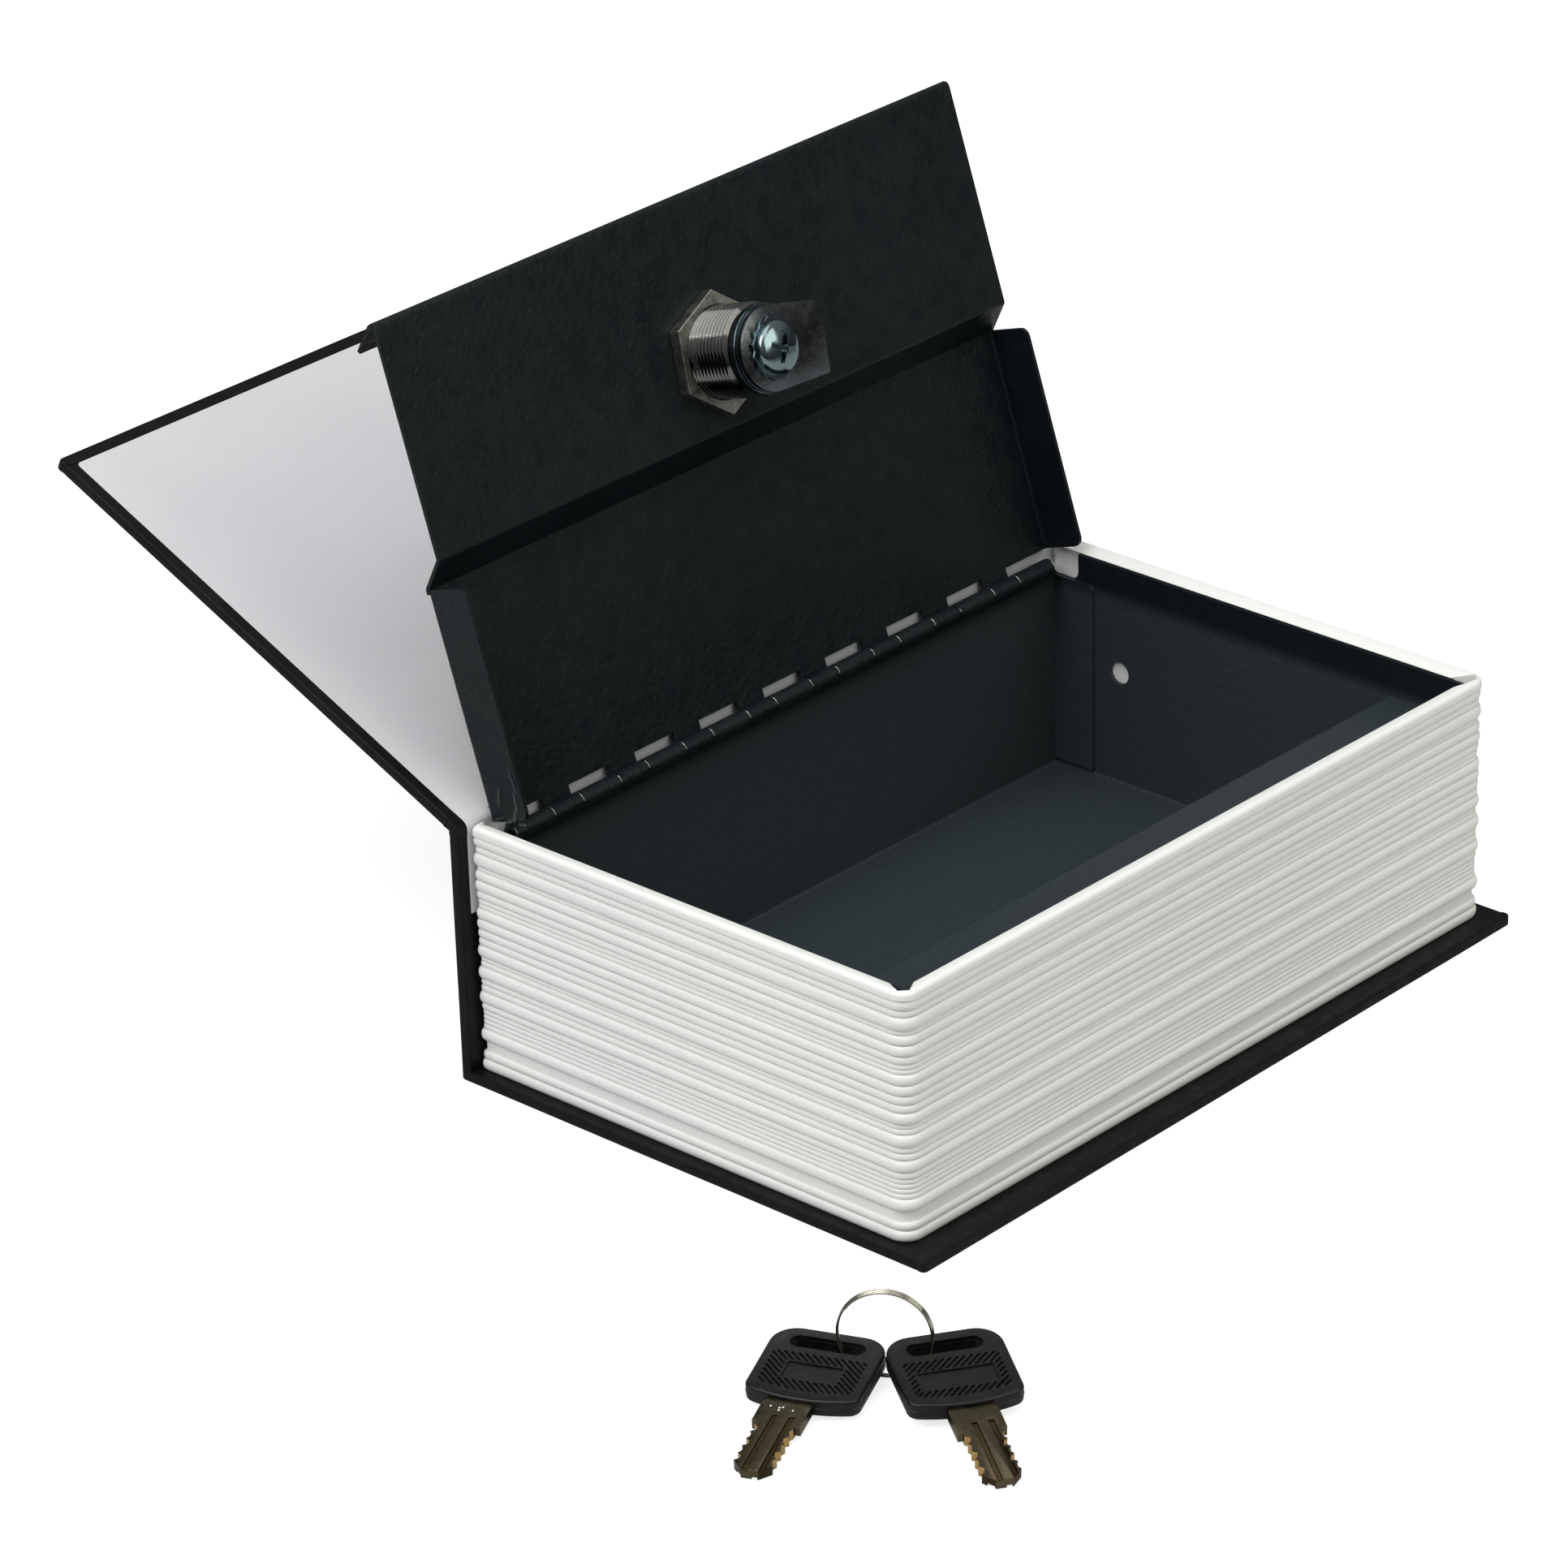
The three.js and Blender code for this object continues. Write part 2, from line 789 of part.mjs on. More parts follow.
// Everything inside a box with rounded lower edges, so far inside the strongbox's outer face
function boxHull(inset, top) {
  const radius = bend + halfSheet - inset;
  const radii = [radius, radius, 0, 0];
  const [x0, x1] = [boxSpineX + inset, boxForeX - inset];
  const [end, foot] = [boxEnd - inset, boxBottom + inset];
  const lengthways = roundedOutline(rectangle(x0, x1, foot, top), radii);
  const crossways = roundedOutline(rectangle(-end, end, foot, top), radii);
  return kept(
    alongY(new THREE.Shape(lengthways), -end - overrun, end + overrun),
    alongX(new THREE.Shape(crossways), x0 - overrun, x1 + overrun),
  );
}

// The long walls end below the end walls: one at the hinge, the other where its ledge folds off.
function longWallCuts() {
  const top = blockTop + overrun;
  const foldFoot = ledgeTop - sheet - bend;
  return [
    cuboid(
      boxSpineX - overrun,
      boxSpineX + sheet,
      -boxInnerEnd,
      boxInnerEnd,
      hingeZ - knuckleRoot,
      top,
    ),
    cuboid(boxForeX - sheet, boxForeX + overrun, -boxInnerEnd, boxInnerEnd, foldFoot, top),
  ];
}

// The fore-edge wall's top, the ledge, and the ledge's lip, which is the lock's catch
function lockLedge() {
  const x = boxForeX - halfSheet;
  const z = ledgeTop - halfSheet;
  const line = pointsAt(
    [x, ledgeTop - 2 * (sheet + bend)],
    [x, z],
    [ledgeX + halfSheet, z],
    [ledgeX + halfSheet, catchBottom],
  );
  const reach = boxInnerEnd + halfSheet;
  return alongY(foldedSheet(line, [bend, bend]), -reach, reach);
}

// The two sides of a band across the book, at one end or the other
function atEnd(end, near, far) {
  return end > 0 ? [near, far] : [-far, -near];
}

// The end of the spine wall, folded round and welded to the end wall above its bend
function endTab(end) {
  const foot = boxFloor + bend;
  const outline = roundedOutline(
    rectangle(boxSpineX + halfSheet, boxSpineX + tabLength, foot, blockTop - tabDrop),
    [0, 0, tabRound, 0],
  );
  return alongY(new THREE.Shape(outline), ...atEnd(end, boxInnerEnd - sheet, boxEnd - halfSheet));
}

// The end walls stop short of the hinge.
function endWallNotch(end) {
  const outline = roundedOutline(
    rectangle(
      boxSpineX - overrun,
      boxSpineX + notchLength,
      blockTop - notchDrop,
      blockTop + overrun,
    ),
    [0, notchRound, 0, 0],
  );
  return alongY(new THREE.Shape(outline), ...atEnd(end, boxInnerEnd, boxEnd + overrun));
}

function endHoles() {
  const drill = disc(endHoleRadius, 16, -boxEnd - overrun, boxEnd + overrun).rotateX(quarterTurn);
  return drill.translate(boxSpineX + endHoleFromSpine, 0, boxFloor + endHoleHeight);
}

function steelBox() {
  const notches = [endWallNotch(1), endWallNotch(-1)];
  const inside = boxHull(sheet, blockTop + overrun);
  const folded = cut(boxHull(0, endWallTop), inside, ...longWallCuts(), ...notches);
  const welded = joined(folded, lockLedge(), endTab(1), endTab(-1), ...boxKnuckles());
  return piece("steel_box", cut(welded, endHoles()), powderCoat);
}

// Lid, laid out closed from the hinge axis

// The flat half, with a flange turned down at each end
function lidChannel() {
  const y = lidEnd - halfSheet;
  const foot = knuckleRadius - flangeDepth;
  const line = pointsAt([-y, foot], [-y, curlRadius], [y, curlRadius], [y, foot]);
  const channel = alongX(foldedSheet(line, [bend, bend]), lidRoot, flatLength);
  const outline = roundedOutline(
    rectangle(lidRoot, flatLength, foot, knuckleRadius + overrun),
    [flangeRound, flangeRound, 0, 0],
  );
  return kept(channel, alongY(new THREE.Shape(outline), -lidEnd - overrun, lidEnd + overrun));
}

// The joggle, the recessed half and the lip folded back along the free edge
function lidFront() {
  const low = recessOuter - halfSheet;
  const halfFold = (Math.PI - lipFold) / 2;
  const corner = lidLength - lipBend - halfSheet + lipBend / Math.tan(halfFold);
  const line = pointsAt(
    [flatLength - bend, curlRadius],
    [flatLength, curlRadius],
    [flatLength + joggleRun, low],
    [corner, low],
    [corner - lipLength * Math.cos(2 * halfFold), low + lipLength * Math.sin(2 * halfFold)],
  );
  const section = foldedSheet(line, [sheet, sheet, lipBend]);
  return alongY(section, -lidEnd, lidEnd);
}

// The lock's hole has the barrel's two flats, so the lock can't turn in it.
function lockHole() {
  const radius = barrelRadius + seat;
  const flat = barrelFlat + seat;
  const drill = disc(radius, 32, recessOuter - overrun, recessOuter + overrun);
  const keeper = cuboid(
    -radius,
    radius,
    -flat,
    flat,
    recessOuter - 2 * overrun,
    recessOuter + 2 * overrun,
  );
  return kept(drill, keeper).translate(lockFromAxis, 0, 0);
}

function lidPanel() {
  const folded = joined(lidChannel(), lidFront(), ...lidKnuckleRow());
  return piece("lid", cut(folded, lockHole()), powderCoat);
}

// Lock, laid out along the lid's normal with the lid closed

function lockHousing() {
  const bore = plugRadius + runningPlay;
  const counterbore = faceRadius + runningPlay;
  const faceFloor = plugTop - faceThick - seat;
  const shoulder = recessOuter + seat;
  const body = turned(
    [
      [bore, barrelEnd],
      [neckRadius, barrelEnd],
      [neckRadius, barrelEnd + neckLength],
      [barrelRadius, barrelEnd + neckLength + barrelRadius - neckRadius],
      [barrelRadius, shoulder],
      [bezelRadius, shoulder],
      [bezelRadius, shoulder + bezelRim],
      [bezelRing, bezelTop],
      [counterbore, bezelTop],
      [counterbore, faceFloor],
      [bore, faceFloor],
      [bore, barrelEnd],
    ],
    32,
  );
  const flats = [1, -1].map((end) =>
    cuboid(
      -barrelRadius,
      barrelRadius,
      ...atEnd(end, barrelFlat, barrelFlat + overrun),
      barrelEnd - overrun,
      shoulder,
    ),
  );
  return piece("lock_housing", cut(body, ...flats), nickel);
}

function lockNut() {
  const corner = nutFlats / 2 / Math.cos(30 * degrees);
  const outline = Array.from({ length: 6 }, (_, i) => {
    const turn = nutTurn + (Math.PI * i) / 3;
    return new THREE.Vector2(corner * Math.cos(turn), corner * Math.sin(turn));
  });
  const top = recessInner - seat;
  const hexagon = alongZ(new THREE.Shape(outline), top - nutThick, top);
  const bore = disc(barrelRadius + seat, 32, top - nutThick - overrun, top + overrun);
  return piece("lock_nut", cut(hexagon, bore), nickel);
}

// The keyway's halves step sideways, so that only this key's grooves fit.
function keyway() {
  const half = keywayWidth / 2;
  return [1, -1].map((end) =>
    cuboid(
      end * keywayJog - half,
      end * keywayJog + half,
      ...atEnd(end, 0, keywayLength / 2),
      plugTop - keywayDepth,
      plugTop + overrun,
    ),
  );
}

function waferTop(i) {
  return plugTop - waferStart - i * waferPitch;
}

function waferSlot(i) {
  const half = waferWidth / 2 + runningPlay;
  return cuboid(
    -half,
    half,
    -plugRadius - overrun,
    plugRadius + overrun,
    waferTop(i) - waferThick - runningPlay,
    waferTop(i) + runningPlay,
  );
}

function lockPlug() {
  const neck = plugTop - faceThick;
  const body = turned(
    [
      [0, barrelEnd],
      [plugRadius, barrelEnd],
      [plugRadius, neck],
      [faceRadius, neck],
      [faceRadius, plugTop],
      [0, plugTop],
    ],
    32,
  );
  const half = tailWidth / 2;
  const tail = cuboid(-half, half, -half, half, camBottom + seat, barrelEnd + waferThick);
  const thread = disc(
    shankRadius + seat,
    16,
    camBottom - overrun,
    screwTop + shankLength + seat,
  );
  const slots = Array.from({ length: waferCount }, (_, i) => waferSlot(i));
  return piece("lock_plug", cut(joined(body, tail), thread, ...keyway(), ...slots), brass);
}

function wafer(i) {
  const [x, y] = [waferWidth / 2, waferLength / 2];
  const top = waferTop(i);
  const plate = cuboid(-x, x, -y, y, top - waferThick, top);
  const reach = keywayLength / 2 + waferPlay;
  const window = cuboid(
    -waferWindow / 2,
    waferWindow / 2,
    -reach,
    reach,
    top - waferThick - overrun,
    top + overrun,
  );
  return piece(`wafer_${i + 1}`, cut(plate, window), brass);
}

function squareHole(z0, z1) {
  const half = tailWidth / 2 + seat;
  return cuboid(-half, half, -half, half, z0 - overrun, z1 + overrun);
}

function stopWasher() {
  const foot = stopTop - stopThick;
  const ring = cut(disc(stopRadius, 32, foot, stopTop), squareHole(foot, stopTop));
  return piece("stop_washer", ring, zincSteel);
}

// A round end about the plug, running out into a flat tongue
function lockCam() {
  const half = camWidth / 2;
  const side = Math.asin(half / camEndRadius);
  const round = [];
  const steps = 14;
  for (let i = 0; i <= steps; i++) {
    const turn = side + ((2 * Math.PI - 2 * side) * i) / steps;
    round.push(
      new THREE.Vector2(camEndRadius * Math.cos(turn), camEndRadius * Math.sin(turn)),
    );
  }
  const tip = rectangle(0, camReach, -half, half);
  const corners = roundedOutline(tip, [0, camTipRound, camTipRound, 0]).slice(1, -1);
  const plate = alongZ(new THREE.Shape([...corners, ...round]), camBottom, camTop);
  plate.rotateZ(quarterTurn + camRestTurn);
  return piece("lock_cam", cut(plate, squareHole(camBottom, camTop)), zincSteel);
}

function toothedWasher() {
  const outline = Array.from({ length: 2 * toothCount }, (_, i) => {
    const radius = i % 2 ? toothRootRadius : toothTipRadius;
    const turn = (Math.PI * i) / toothCount;
    return new THREE.Vector2(radius * Math.cos(turn), radius * Math.sin(turn));
  });
  const foot = toothedTop - toothedThick;
  const plate = alongZ(new THREE.Shape(outline), foot, toothedTop);
  const bore = disc(toothedBore, 16, foot - overrun, toothedTop + overrun);
  return piece("toothed_washer", cut(plate, bore), zincSteel);
}

function camScrew() {
  const steps = 5;
  const crown = Array.from({ length: steps + 1 }, (_, i) => {
    const turn = (quarterTurn * i) / steps;
    return [screwRadius * Math.sin(turn), screwTop - screwEdge - screwDome * Math.cos(turn)];
  });
  const top = screwTop + shankLength;
  const body = turned(
    [...crown, [screwRadius, screwTop], [shankRadius, screwTop], [shankRadius, top], [0, top]],
    24,
  );
  const foot = screwTop - screwEdge - screwDome;
  const [long, wide] = [crossLength / 2, crossWidth / 2];
  const arms = [
    cuboid(-long, long, -wide, wide, foot - overrun, foot + crossDepth),
    cuboid(-wide, wide, -long, long, foot - overrun, foot + crossDepth),
  ];
  return piece("cam_screw", cut(body, ...arms), zincSteel);
}

function camLock() {
  const wafers = Array.from({ length: waferCount }, (_, i) => wafer(i));
  const made = group(
    lockHousing(),
    lockNut(),
    lockPlug(),
    ...wafers,
    stopWasher(),
    lockCam(),
    toothedWasher(),
    camScrew(),
  );
  made.position.x = lockFromAxis;
  return made;
}

function lidAssembly() {
  const made = group(lidPanel(), camLock());
  made.position.set(hingeX, 0, hingeZ);
  made.rotation.y = -lidOpen;
  return made;
}

// Keys, each laid out along X from the base of its blade, about the blade's middle plane

function headOutline(shift) {
  const crown = [-0.5, 0, 0.5].map((share) => [-headCrown * share * share, share * headBladeEnd]);
  const corners = pointsAt(
    [-headLength, -headSlotEnd],
    [-headCrown, -headBladeEnd],
    ...crown,
    [-headCrown, headBladeEnd],
    [-headLength, headSlotEnd],
  );
  const radii = [headRound, headBladeRound, 0, 0, 0, headBladeRound, headRound];
  return roundedOutline(corners, radii, 3).map(({ x, y }) => new THREE.Vector2(x, y + shift));
}

function keyHead(shift) {
  const shape = new THREE.Shape(headOutline(shift));
  const x = headSlotPlace - headLength;
  const slot = roundedOutline(
    rectangle(
      x - headSlotWidth / 2,
      x + headSlotWidth / 2,
      shift - headSlotLength / 2,
      shift + headSlotLength / 2,
    ),
    Array(4).fill(headSlotWidth / 2 - glueLine),
  );
  shape.holes.push(new THREE.Path(slot.reverse()));
  const head = new THREE.ExtrudeGeometry(shape, {
    depth: headThick - 2 * headBevel,
    bevelSize: headBevel,
    bevelThickness: headBevel,
    bevelOffset: -headBevel,
    bevelSegments: 1,
  });
  head.translate(0, 0, headBevel - headThick / 2);
  const panels = [1, -1].map((face) =>
    cuboid(
      -panelPlace - panelLength / 2,
      -panelPlace + panelLength / 2,
      shift - panelWidth / 2,
      shift + panelWidth / 2,
      ...atEnd(face, headThick / 2 - panelDepth, headThick / 2 + overrun),
    ),
  );
  const half = bladeThick / 2 + glueLine;
  const socket = cuboid(
    -tangLength - glueLine,
    overrun,
    -tangWidth / 2 - glueLine,
    tangWidth / 2 + glueLine,
    -half,
    half,
  );
  return cut(head, ...panels, socket);
}

// One edge of the blade, from its shoulder through its cuts to the tip
function bladeEdge(side) {
  const half = cutWidth / 2;
  const edge = [
    [glueLine, tangWidth / 2],
    [glueLine, bladeWidth / 2],
    [bladeShoulder, bladeWidth / 2],
    [bladeShoulder, half],
  ];
  for (let i = 0; i < cutCount; i++) {
    const x = cutStart + i * cutPitch;
    const depth = (i + (side > 0 ? 0 : 1)) % 2 ? cutDepth : cutDepth / 2;
    edge.push([x, half], [x + cutPitch / 3, half - depth], [x + (2 * cutPitch) / 3, half - depth]);
  }
  edge.push([bladeLength - tipLength, half], [bladeLength, tipWidth / 2]);
  return edge.map(([x, y]) => [x, side * y]);
}

function keyBlade() {
  const tang = [-tangLength, tangWidth / 2];
  const outline = pointsAt(
    [tang[0], -tang[1]],
    ...bladeEdge(-1),
    ...bladeEdge(1).reverse(),
    tang,
  );
  const half = bladeThick / 2;
  const blade = alongZ(new THREE.Shape(outline), -half, half);
  const groove = (face, place) =>
    cuboid(
      grooveStart,
      bladeLength + overrun,
      place - grooveWidth / 2,
      place + grooveWidth / 2,
      ...atEnd(face, half - bladeGrooveDepth, half + overrun),
    );
  const grooves = [
    groove(1, firstGroovePlace),
    groove(1, secondGroovePlace),
    groove(-1, -firstGroovePlace),
    groove(-1, -secondGroovePlace),
  ];
  return cut(blade, ...grooves);
}

// The key tips forward until the tip of its blade meets the table.
function keyAt(side, place, shift) {
  const made = group(
    piece(`key_head_${side}`, keyHead(shift), blackPlastic),
    piece(`key_blade_${side}`, keyBlade(), keyMetal),
  );
  const { x, y, heading, tilt } = place;
  made.position.set(x, y, bladeLength * Math.sin(tilt) + (bladeThick / 2) * Math.cos(tilt));
  made.rotation.set(0, tilt, heading, "ZYX");
  return made;
}

// The split ring is one wire wound round twice.
class RingLine extends THREE.Curve {
  getPoint(share, target = new THREE.Vector3()) {
    const turn = 2 * Math.PI * ringTurns * share;
    const radius = (ringDiameter - ringWire) / 2;
    const rise = ringPitch * ringTurns * (share - 0.5);
    return target.set(radius * Math.cos(turn), radius * Math.sin(turn), rise);
  }
}

function keyRing() {
  const section = Array.from({ length: 6 }, (_, i) => {
    const turn = (Math.PI * i) / 3;
    return new THREE.Vector2((ringWire / 2) * Math.cos(turn), (ringWire / 2) * Math.sin(turn));
  });
  const wire = new THREE.ExtrudeGeometry(new THREE.Shape(section), {
    steps: 24 * ringTurns,
    extrudePath: new RingLine(),
    bevelEnabled: false,
  });
  const ring = piece("key_ring", wire, nickel);
  const radius = (ringDiameter - ringWire) / 2;
  const lean = (ringPitch / 2) * Math.cos(ringTilt);
  const height = radius * Math.sin(ringTilt) + lean + ringWire / 2;
  ring.position.set(ringPlace.x, ringPlace.y, height);
  ring.rotation.set(0, -ringTilt, ringPlace.heading, "ZYX");
  return ring;
}

// The least gap between one turn of the ring and the next
function ringGap() {
  const line = new RingLine();
  const samples = Array.from({ length: 241 }, (_, i) => line.getPoint(i / 240));
  const half = Math.round(samples.length / ringTurns / 2);
  let least = Infinity;
  samples.forEach((a, i) => {
    samples.slice(i + half).forEach((b) => {
      least = Math.min(least, a.distanceTo(b));
    });
  });
  return least - ringWire;
}

const keySet = group(
  keyRing(),
  keyAt("left", leftKeyPlace, leftHeadShift),
  keyAt("right", rightKeyPlace, rightHeadShift),
);
const bookCase = group(
  coverCloth(),
  backBoard(),
  spineBoard(),
  backEndpaper(),
  spineEndpaper(),
  jointCloth(),
  pageBlock(),
  steelBox(),
  hingePin(),
);
const bookSafe = group(bookCase, frontCover(), lidAssembly(), keySet);

console.log(`least gap between the key ring's turns: ${ringGap().toFixed(2)} mm`);

export default bookSafe;
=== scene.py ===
# %% [markdown]
# # A book safe, dressed in Blender
# The solids of this book safe come from a CAD model, in metres and in their real places.
# Here they get their surfaces, and the pieces that need finer shapes are modelled again.
# Most pieces then ride on the CAD body that carries them, so that the book can open and close.

from math import atan, cos, pi, radians, sin

import bmesh
import bpy
from mathutils import Matrix, Vector, noise


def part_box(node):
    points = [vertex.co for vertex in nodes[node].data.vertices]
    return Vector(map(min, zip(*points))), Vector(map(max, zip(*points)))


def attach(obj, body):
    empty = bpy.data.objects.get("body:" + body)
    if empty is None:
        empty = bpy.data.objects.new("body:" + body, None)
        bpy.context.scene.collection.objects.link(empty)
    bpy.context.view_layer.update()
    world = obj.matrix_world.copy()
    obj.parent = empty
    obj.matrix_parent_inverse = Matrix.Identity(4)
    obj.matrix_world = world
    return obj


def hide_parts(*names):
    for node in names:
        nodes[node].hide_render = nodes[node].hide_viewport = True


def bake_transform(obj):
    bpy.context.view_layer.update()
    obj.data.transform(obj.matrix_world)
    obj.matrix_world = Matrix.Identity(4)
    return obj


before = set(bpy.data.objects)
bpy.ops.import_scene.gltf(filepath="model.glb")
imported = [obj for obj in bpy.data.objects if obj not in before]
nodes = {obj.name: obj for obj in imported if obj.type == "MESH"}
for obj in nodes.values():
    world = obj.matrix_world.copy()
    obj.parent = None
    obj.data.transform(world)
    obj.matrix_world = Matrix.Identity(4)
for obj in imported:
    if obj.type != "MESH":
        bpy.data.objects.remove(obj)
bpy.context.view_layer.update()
mm = 0.001
print("nodes:", len(nodes))

# %% [markdown]
# ## The camera
# The camera's place was worked out from the straight edges of the book, whose sizes are known.
# A long lens keeps the edges nearly parallel, as in a product picture. The camera's own axes are
# built from an azimuth, an elevation and a small roll, which reads more plainly than a rotation.

# %% Camera
FOCAL_PIXELS = 9043.15
PICTURE_PIXELS = 1932
SENSOR_MM = 36
CAMERA_DISTANCE = 1470.69 * mm
AIM_ACROSS, AIM_UP = -0.061 * mm, -26.919 * mm
AIM_POINT = Vector((-55.6 * mm, 0, 0))
azimuth, elevation, roll = radians(42.406), radians(26.058), radians(-1.334)

back = Vector((sin(azimuth) * cos(elevation), -cos(azimuth) * cos(elevation), sin(elevation)))
level = Vector((cos(azimuth), sin(azimuth), 0))
upright = back.cross(level)
camera_right = level * cos(roll) + upright * sin(roll)
camera_up = upright * cos(roll) - level * sin(roll)
camera_place = (
    AIM_POINT + back * CAMERA_DISTANCE - camera_right * AIM_ACROSS - camera_up * AIM_UP
)

camera_data = bpy.data.cameras.new("camera")
camera_data.sensor_width = SENSOR_MM
camera_data.lens = FOCAL_PIXELS / PICTURE_PIXELS * SENSOR_MM
camera_data.clip_end = 20
camera = bpy.data.objects.new("camera", camera_data)
axes = Matrix((camera_right, camera_up, back)).transposed().to_4x4()
camera.matrix_world = Matrix.Translation(camera_place) @ axes
bpy.context.scene.collection.objects.link(camera)
bpy.context.scene.camera = camera
bpy.context.scene.view_settings.view_transform = "Standard"
print(f"lens {camera_data.lens:.1f} mm")

# %% [markdown]
# ## Materials from nodes
# Every finish starts from one Principled shader. Two helpers add what makes it real. One mixes
# two tones by a noise, and the other turns a noise into bump. Both read Object coordinates, so a
# pattern stays on its piece when the piece moves. The scale is in cells per metre.


# %% Helpers for materials
NOISE_SPAN = 0.35, 0.65  # where nearly all of a noise lies


def principled(name, color, roughness, metallic=0.0, **sockets):
    material = bpy.data.materials.new(name)
    material.use_nodes = True
    shader = material.node_tree.nodes["Principled BSDF"]
    shader.inputs["Base Color"].default_value = (*color, 1)
    shader.inputs["Roughness"].default_value = roughness
    shader.inputs["Metallic"].default_value = metallic
    for socket, value in sockets.items():
        shader.inputs[socket.replace("_", " ")].default_value = value
    return material, shader


def object_place(tree, stretch=(1, 1, 1)):
    place = tree.nodes.new("ShaderNodeTexCoord")
    mapping = tree.nodes.new("ShaderNodeMapping")
    mapping.inputs["Scale"].default_value = stretch
    tree.links.new(place.outputs["Object"], mapping.inputs["Vector"])
    return mapping.outputs["Vector"]


def noise_field(tree, scale, detail=3.0, stretch=(1, 1, 1), rough=0.5):
    field = tree.nodes.new("ShaderNodeTexNoise")
    field.inputs["Scale"].default_value = scale
    field.inputs["Detail"].default_value = detail
    field.inputs["Roughness"].default_value = rough
    tree.links.new(object_place(tree, stretch), field.inputs["Vector"])
    return field.outputs["Fac"]


def ranged(tree, value, low, high, to_low, to_high):
    spread = tree.nodes.new("ShaderNodeMapRange")
    sockets = ("From Min", "From Max", "To Min", "To Max")
    for socket, number in zip(sockets, (low, high, to_low, to_high)):
        spread.inputs[socket].default_value = number
    tree.links.new(value, spread.inputs["Value"])
    return spread.outputs["Result"]


def mixed_color(tree, factor, first, second):
    mix = tree.nodes.new("ShaderNodeMix")
    mix.data_type = "RGBA"
    mix.inputs["A"].default_value = (*first, 1)
    mix.inputs["B"].default_value = (*second, 1)
    tree.links.new(factor, mix.inputs["Factor"])
    return mix.outputs["Result"]


def add_bump(tree, shader, height, distance, strength=1.0):
    bump = tree.nodes.new("ShaderNodeBump")
    bump.inputs["Distance"].default_value = distance
    bump.inputs["Strength"].default_value = strength
    tree.links.new(height, bump.inputs["Height"])
    earlier = shader.inputs["Normal"].links
    if earlier:
        tree.links.new(earlier[0].from_socket, bump.inputs["Normal"])
    tree.links.new(bump.outputs["Normal"], shader.inputs["Normal"])


def mottled(material, shader, first, second, scale, low=0.4, high=0.6, **field):
    tree = material.node_tree
    factor = ranged(tree, noise_field(tree, scale, **field), low, high, 0, 1)
    tree.links.new(mixed_color(tree, factor, first, second), shader.inputs["Base Color"])


def worn_roughness(material, shader, scale, low, high, **field):
    tree = material.node_tree
    value = ranged(tree, noise_field(tree, scale, **field), *NOISE_SPAN, low, high)
    tree.links.new(value, shader.inputs["Roughness"])


print("material helpers are ready")

# %% [markdown]
# ## The finishes
# Powder coat is a baked paint with a fine orange peel, so it gets a wide noise for the peel and a
# finer one for its tooth. Plastic, cloth, board and paper are all dull, so one function makes them:
# two tones in patches, uneven gloss, and a bump for each grain. Book cloth has a tight grain, and
# paper a wide, weak one, as it cockles over the glue. Plated metal needs little but uneven gloss
# and fine scratches, because its look comes from what it reflects.

# %% Powder coat
PEEL_CELLS, TOOTH_CELLS, GLOSS_CELLS = 700, 2200, 240
TOOTH_SHARE = 0.1
COAT_GLOSS = 0.36


def orange_peel(material, shader, gloss, peel):
    tree = material.node_tree
    worn_roughness(material, shader, GLOSS_CELLS, gloss - 0.05, gloss + 0.08)
    add_bump(tree, shader, noise_field(tree, PEEL_CELLS, 2.0), peel)
    add_bump(tree, shader, noise_field(tree, TOOTH_CELLS, 1.0), TOOTH_SHARE * peel)


def baked_coat(name, tone, gloss, peel, sheen):
    material, shader = principled(name, tone, gloss, Specular_IOR_Level=sheen)
    darker, lighter = ([share * level for level in tone] for share in (0.92, 1.1))
    mottled(material, shader, darker, lighter, 60, detail=4)
    orange_peel(material, shader, gloss, peel)
    return material


powder_coat = baked_coat("powder_coat", (0.0050, 0.0086, 0.0104), COAT_GLOSS, 0.20 * mm, 0.2)
glossy_coat = baked_coat("glossy_coat", (0.0090, 0.0130, 0.0155), 0.12, 0.03 * mm, 0.6)

# Inside the box the tone is painted paler than on the rim and the hinge: painted light
INSIDE_PAINTED_LIGHT_TONE, RIM_TONE = (0.0305, 0.0405, 0.0450), (0.0070, 0.0110, 0.0130)
INSIDE_TOP, RIM_FOOT = 44.5 * mm, 47.5 * mm
box_coat, shader = principled("box_coat", INSIDE_PAINTED_LIGHT_TONE, COAT_GLOSS, Specular_IOR_Level=0.2)
tree = box_coat.node_tree
split = tree.nodes.new("ShaderNodeSeparateXYZ")
tree.links.new(object_place(tree), split.inputs["Vector"])
# Below the rim the tone fades to the paler one inside, which is painted light
near_rim = ranged(tree, split.outputs["Z"], INSIDE_TOP, RIM_FOOT, 0, 1)
shade = mixed_color(tree, near_rim, INSIDE_PAINTED_LIGHT_TONE, RIM_TONE)
tree.links.new(shade, shader.inputs["Base Color"])
orange_peel(box_coat, shader, COAT_GLOSS, 0.16 * mm)


# %% Plastic, cloth, board and paper
def dull(name, tone, gloss, tones, patches, grains, wear=None, **sockets):
    """Two tones in patches, perhaps uneven gloss, and a bump for each grain."""
    material, shader = principled(name, tone, gloss, **sockets)
    tree = material.node_tree
    mottled(material, shader, *tones, patches[0], detail=patches[1])
    if wear:
        worn_roughness(material, shader, *wear)
    for cells, octaves, depth, *strength in grains:
        add_bump(tree, shader, noise_field(tree, cells, octaves), depth * mm, *strength)
    return material


